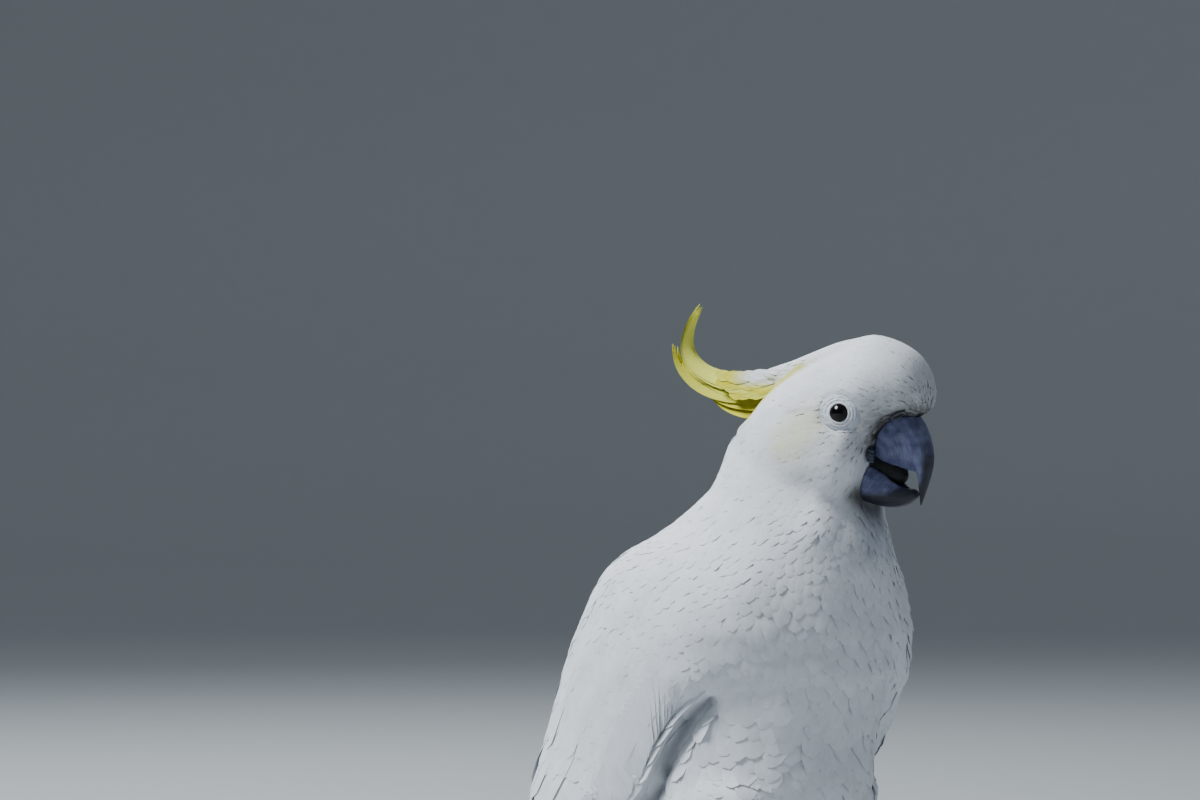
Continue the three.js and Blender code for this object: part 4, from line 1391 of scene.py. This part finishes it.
def show_gape():
    """Bluish skin in small level folds over a soft lump at each corner of the mouth."""
    made = bmesh.new()
    for side in (-1, 1):
        start = len(made.verts)
        bmesh.ops.create_icosphere(made, subdivisions=4, radius=1)
        made.verts.ensure_lookup_table()
        for vert in made.verts[start:]:
            swell = 1 + 0.12 * noise.noise(vert.co * 3.1 + Vector((5, 0, 0)))
            x, y, z = vert.co * swell
            vert.co = on_head(10.4 + 1.8 * x, side * 11.8 + 2.1 * y, -17.8 + 3.4 * z)
    mesh = mesh_of(made, "gape")
    points, normals = points_of(mesh), normals_of(mesh)
    waver = np.array([noise.noise(Vector(p) / (3 * MM)) for p in points])
    fold = np.cos((points[:, 2] / (1.5 * MM) + 0.6 * waver) * 2 * math.pi)
    move_points(mesh, points + normals * (fold * 0.3 * MM)[:, None])
    # Painted shade: darker in the grooves between the folds, paler on their crests.
    colour_points(mesh, mixed(paint("#30333e"), paint("#505870"), fold * 0.5 + 0.5))
    show("gape_skin", mesh, EYE_SKIN)


# From a nostril's rim into it: how wide each ring is, and how far out of the skin in millimetres.
NOSTRIL_RINGS = ((1.7, -0.8), (1.5, 0.1), (1.2, 0.45), (0.95, 0.2), (0.6, -0.8), (0.0, -1.1))
NOSTRIL_SIDES = 24


def show_nostrils():
    """A dark slit with a grey rim on each side above the bill."""
    made = bmesh.new()
    colours = []
    for side in (-1, 1):
        place, facing = SKIN.nearest(on_head(*nostril_at(side)))
        place = place + facing * MM
        slope = turn_with_head(0.75, 0, 0.65)
        along = (slope - facing * slope.dot(facing)).normalized()
        over = facing.cross(along)
        rings = []
        for ring, (wide, out) in enumerate(NOSTRIL_RINGS):
            rim = []
            for turn in np.linspace(0, 2 * math.pi, NOSTRIL_SIDES, endpoint=False):
                spot = along * math.cos(turn) * 2.5 * wide + over * math.sin(turn) * 1.1 * wide + facing * out
                rim.append(made.verts.new(place + spot * MM))
            rings.append(rim)
            # Painted shade: the inner rings are near black for the shade deep in the nostril, the rim grey.
            colours += [paint("#5b5a60" if ring < 3 else "#09090a")] * NOSTRIL_SIDES
        join_rings(made, rings)
        made.faces.new(rings[0][::-1])
    mesh = mesh_of(made, "nostrils")
    colour_points(mesh, np.array(colours))
    show("nostrils", mesh, EYE_SKIN)


for node in ("bill_upper", "bill_lower"):
    show_bill(node)
show_tongue()
show_gape()
show_nostrils()

# ---- Eyes -----------------------------------------------------------------------------------------

EYE_FORWARD = math.radians(10)
# The bare ring round the eye: distance from the eye's line, and distance out along it, through its folds.
RING_PROFILE = (
    (3.9, 3.2), (3.75, 4.0), (3.95, 4.5), (4.35, 4.55), (4.75, 4.15), (5.05, 3.85), (5.4, 4.1),
    (5.75, 4.1), (6.05, 3.65), (6.3, 3.45), (6.65, 3.6), (6.95, 3.45), (7.25, 3.0), (7.7, 2.7),
    (8.3, 2.3), (8.6, 1.2), (7.0, 0.6), (5.75, 1.0), (4.6, 2.4),
)
RING_SIDES = 96


def eye_axes(side):
    """The way the eye looks, and the directions ahead and up across it."""
    sign = SIDES[side]
    look = turn_with_head(math.sin(EYE_FORWARD), sign * math.cos(EYE_FORWARD), 0)
    ahead = turn_with_head(math.cos(EYE_FORWARD), -sign * math.sin(EYE_FORWARD), 0)
    return look, ahead


def show_eye(side):
    look, ahead = eye_axes(side)
    ball = bmesh.new()
    bmesh.ops.create_uvsphere(ball, u_segments=48, v_segments=32, radius=EYE_RADIUS * MM)
    mesh = mesh_of(ball, "eyeball")
    points = points_of(mesh)
    radius = np.hypot(points[:, 0], points[:, 1]) / MM
    # The clear front of the eye bulges a little.
    points[:, 2] += (points[:, 2] > 0) * 0.5 * MM * bell(radius, 2.6)
    iris = np.clip((radius - 2.3) / 0.3, 0, 1) * np.clip((3.9 - radius) / 0.3, 0, 1)
    colour_points(mesh, mixed(paint("#050404"), paint("#120a08"), iris))
    turn = np.array([ahead, np.cross(look, ahead), look])
    move_points(mesh, np.array(EYE_MIDDLE[side]) + points @ turn)
    show(f"{side}_eyeball", mesh, WET_EYE, [f"{side}_eye"])


def show_eye_ring(side):
    """Lids and bare skin in rings round the eye, a little longer behind it."""
    look, ahead = eye_axes(side)
    waves = np.random.default_rng(70).uniform(0, 2 * math.pi, 4)
    made = bmesh.new()
    ribs = []
    for angle in np.linspace(0, 2 * math.pi, RING_SIDES, endpoint=False):
        way = ahead * math.cos(angle) + UP * math.sin(angle)
        behind = bell(angle - math.pi * 0.93, 0.5)
        rib = []
        for radius, out in RING_PROFILE:
            outer = np.clip((radius - 4.4) / 3.4, 0, 1)
            wobble = 0.16 * math.sin(3 * angle + waves[0]) + 0.1 * math.sin(7 * angle + waves[1] + radius)
            r = radius + outer * (1.9 * behind + wobble)
            o = out - outer * 0.7 * behind + 0.12 * math.sin(11 * angle + waves[2] + radius * 2) * outer
            rib.append(made.verts.new(EYE_MIDDLE[side] + way * r * MM + look * o * MM))
        ribs.append(rib)
    join_rings(made, [*ribs, ribs[0]])
    bmesh.ops.recalc_face_normals(made, faces=made.faces)
    mesh = mesh_of(made, "ring")
    heights = (points_of(mesh) - np.array(EYE_MIDDLE[side])) @ np.array(look) / MM
    # Painted shade: the skin is greyer the lower it lies along the eye's line, so darker in the grooves between
    # the folds and towards the outer edge.
    colour_points(mesh, mixed(paint("#ced4de"), paint("#eceff4"), (heights - 3.0) / 1.3))
    show(f"{side}_eyelids", mesh, EYE_SKIN, [f"{side}_eye_ring"])


for side_name in SIDES:
    show_eye(side_name)
    show_eye_ring(side_name)

# ---- Feet -----------------------------------------------------------------------------------------


def show_foot(side):
    """The foot and its claws, painted paler where the skin faces up, as if lit from above."""
    mesh = remeshed(joined_solids([f"{side}_foot"], 0.0), 0.55 * MM, 3)
    points = points_of(mesh)
    points[:, 2] = np.maximum(points[:, 2], 0)
    move_points(mesh, points)
    # Painted light: the skin is paler the more it faces up.
    painted_top_light = normals_of(mesh)[:, 2] * 0.5 + 0.2
    colour_points(mesh, mixed(paint("#4b4a50"), paint("#77757a"), painted_top_light))
    show(f"{side}_foot_skin", mesh, FOOT_SKIN, [f"{side}_foot"])
    for toe in range(1, 5):
        node = f"{side}_claw_{toe}"
        claw = remeshed(joined_solids([node], 0.0), 0.3 * MM, 2)
        colour_points(claw, paint("#232228"))
        show(node + "_horn", claw, CLAW_HORN, [node])


for side_name in SIDES:
    show_foot(side_name)

# ---- Floor, light and camera ----------------------------------------------------------------------


def show_studio():
    """A pale floor that curves up into a wall all round, far out."""
    made = bmesh.new()
    rings = []
    for radius, height in ((3.4, 0.0), (4.0, 0.06), (4.5, 0.3), (4.85, 0.75), (5.0, 1.4), (5.0, 4.0)):
        angles = np.linspace(0, 2 * math.pi, 96, endpoint=False)
        rings.append([made.verts.new((radius * math.cos(a), radius * math.sin(a), height)) for a in angles])
    made.faces.new(rings[0])
    join_rings(made, [ring[::-1] for ring in rings])
    mesh = mesh_of(made, "studio")
    material, tree, spot = new_finish("pale_floor")
    end_finish(tree, shaded(tree, (*paint("#aeb2b4"), 1), grain(tree, spot, 40.0, 4.0), 0.98, 1.02), 0.9)
    mesh.materials.append(material)
    studio = bpy.data.objects.new("studio_floor", mesh)
    bpy.context.scene.collection.objects.link(studio)


def add_light(name, place, target, size, power, colour):
    lamp = bpy.data.lights.new(name, "AREA")
    lamp.shape, lamp.size, lamp.energy, lamp.color = "DISK", size, power, colour
    light = bpy.data.objects.new(name, lamp)
    light.location = place
    light.rotation_euler = (target - place).to_track_quat("-Z", "Y").to_euler()
    bpy.context.scene.collection.objects.link(light)


VIEW_TURN = math.radians(45)
VIEW_BACK = Vector((math.sin(VIEW_TURN), -math.cos(VIEW_TURN), 0))
VIEW_RIGHT = Vector((math.cos(VIEW_TURN), math.sin(VIEW_TURN), 0))
VIEW_DISTANCE = 1.9


def set_lights():
    """A broad cool key from the upper left, a weak fill, and a soft light from behind for the outline."""
    target = HEAD_MIDDLE + Vector((-0.03, 0, -0.06))
    key = target - VIEW_RIGHT * 1.35 + VIEW_BACK * 0.55 + UP * 1.85
    add_light("key", key, target, 0.9, 95, (0.88, 0.94, 1.0))
    fill = target + VIEW_RIGHT * 1.5 + VIEW_BACK * 1.2 + UP * 0.4
    add_light("fill", fill, target, 1.6, 2, (0.88, 0.93, 1.0))
    rim = target - VIEW_RIGHT * 0.5 - VIEW_BACK * 1.4 + UP * 1.3
    add_light("rim", rim, target, 1.2, 20, (0.95, 0.97, 1.0))
    world = bpy.data.worlds.new("studio_air")
    world.use_nodes = True
    backdrop = world.node_tree.nodes["Background"]
    backdrop.inputs["Color"].default_value = (*paint("#c3cede"), 1)
    backdrop.inputs["Strength"].default_value = 0.23
    bpy.context.scene.world = world


def set_camera():
    """Level with the head and 1.9 m from it, 45 degrees to the right of straight ahead of the bird."""
    lens = bpy.data.cameras.new("camera")
    lens.lens = 134.5
    lens.sensor_width = 36
    lens.clip_start, lens.clip_end = 0.05, 30
    camera = bpy.data.objects.new("camera", lens)
    camera.location = HEAD_MIDDLE + VIEW_BACK * VIEW_DISTANCE
    aim = HEAD_MIDDLE - VIEW_RIGHT * 0.1093 + UP * 0.0055
    camera.rotation_euler = (aim - camera.location).to_track_quat("-Z", "Y").to_euler()
    bpy.context.scene.collection.objects.link(camera)
    bpy.context.scene.camera = camera


show_studio()
set_lights()
set_camera()
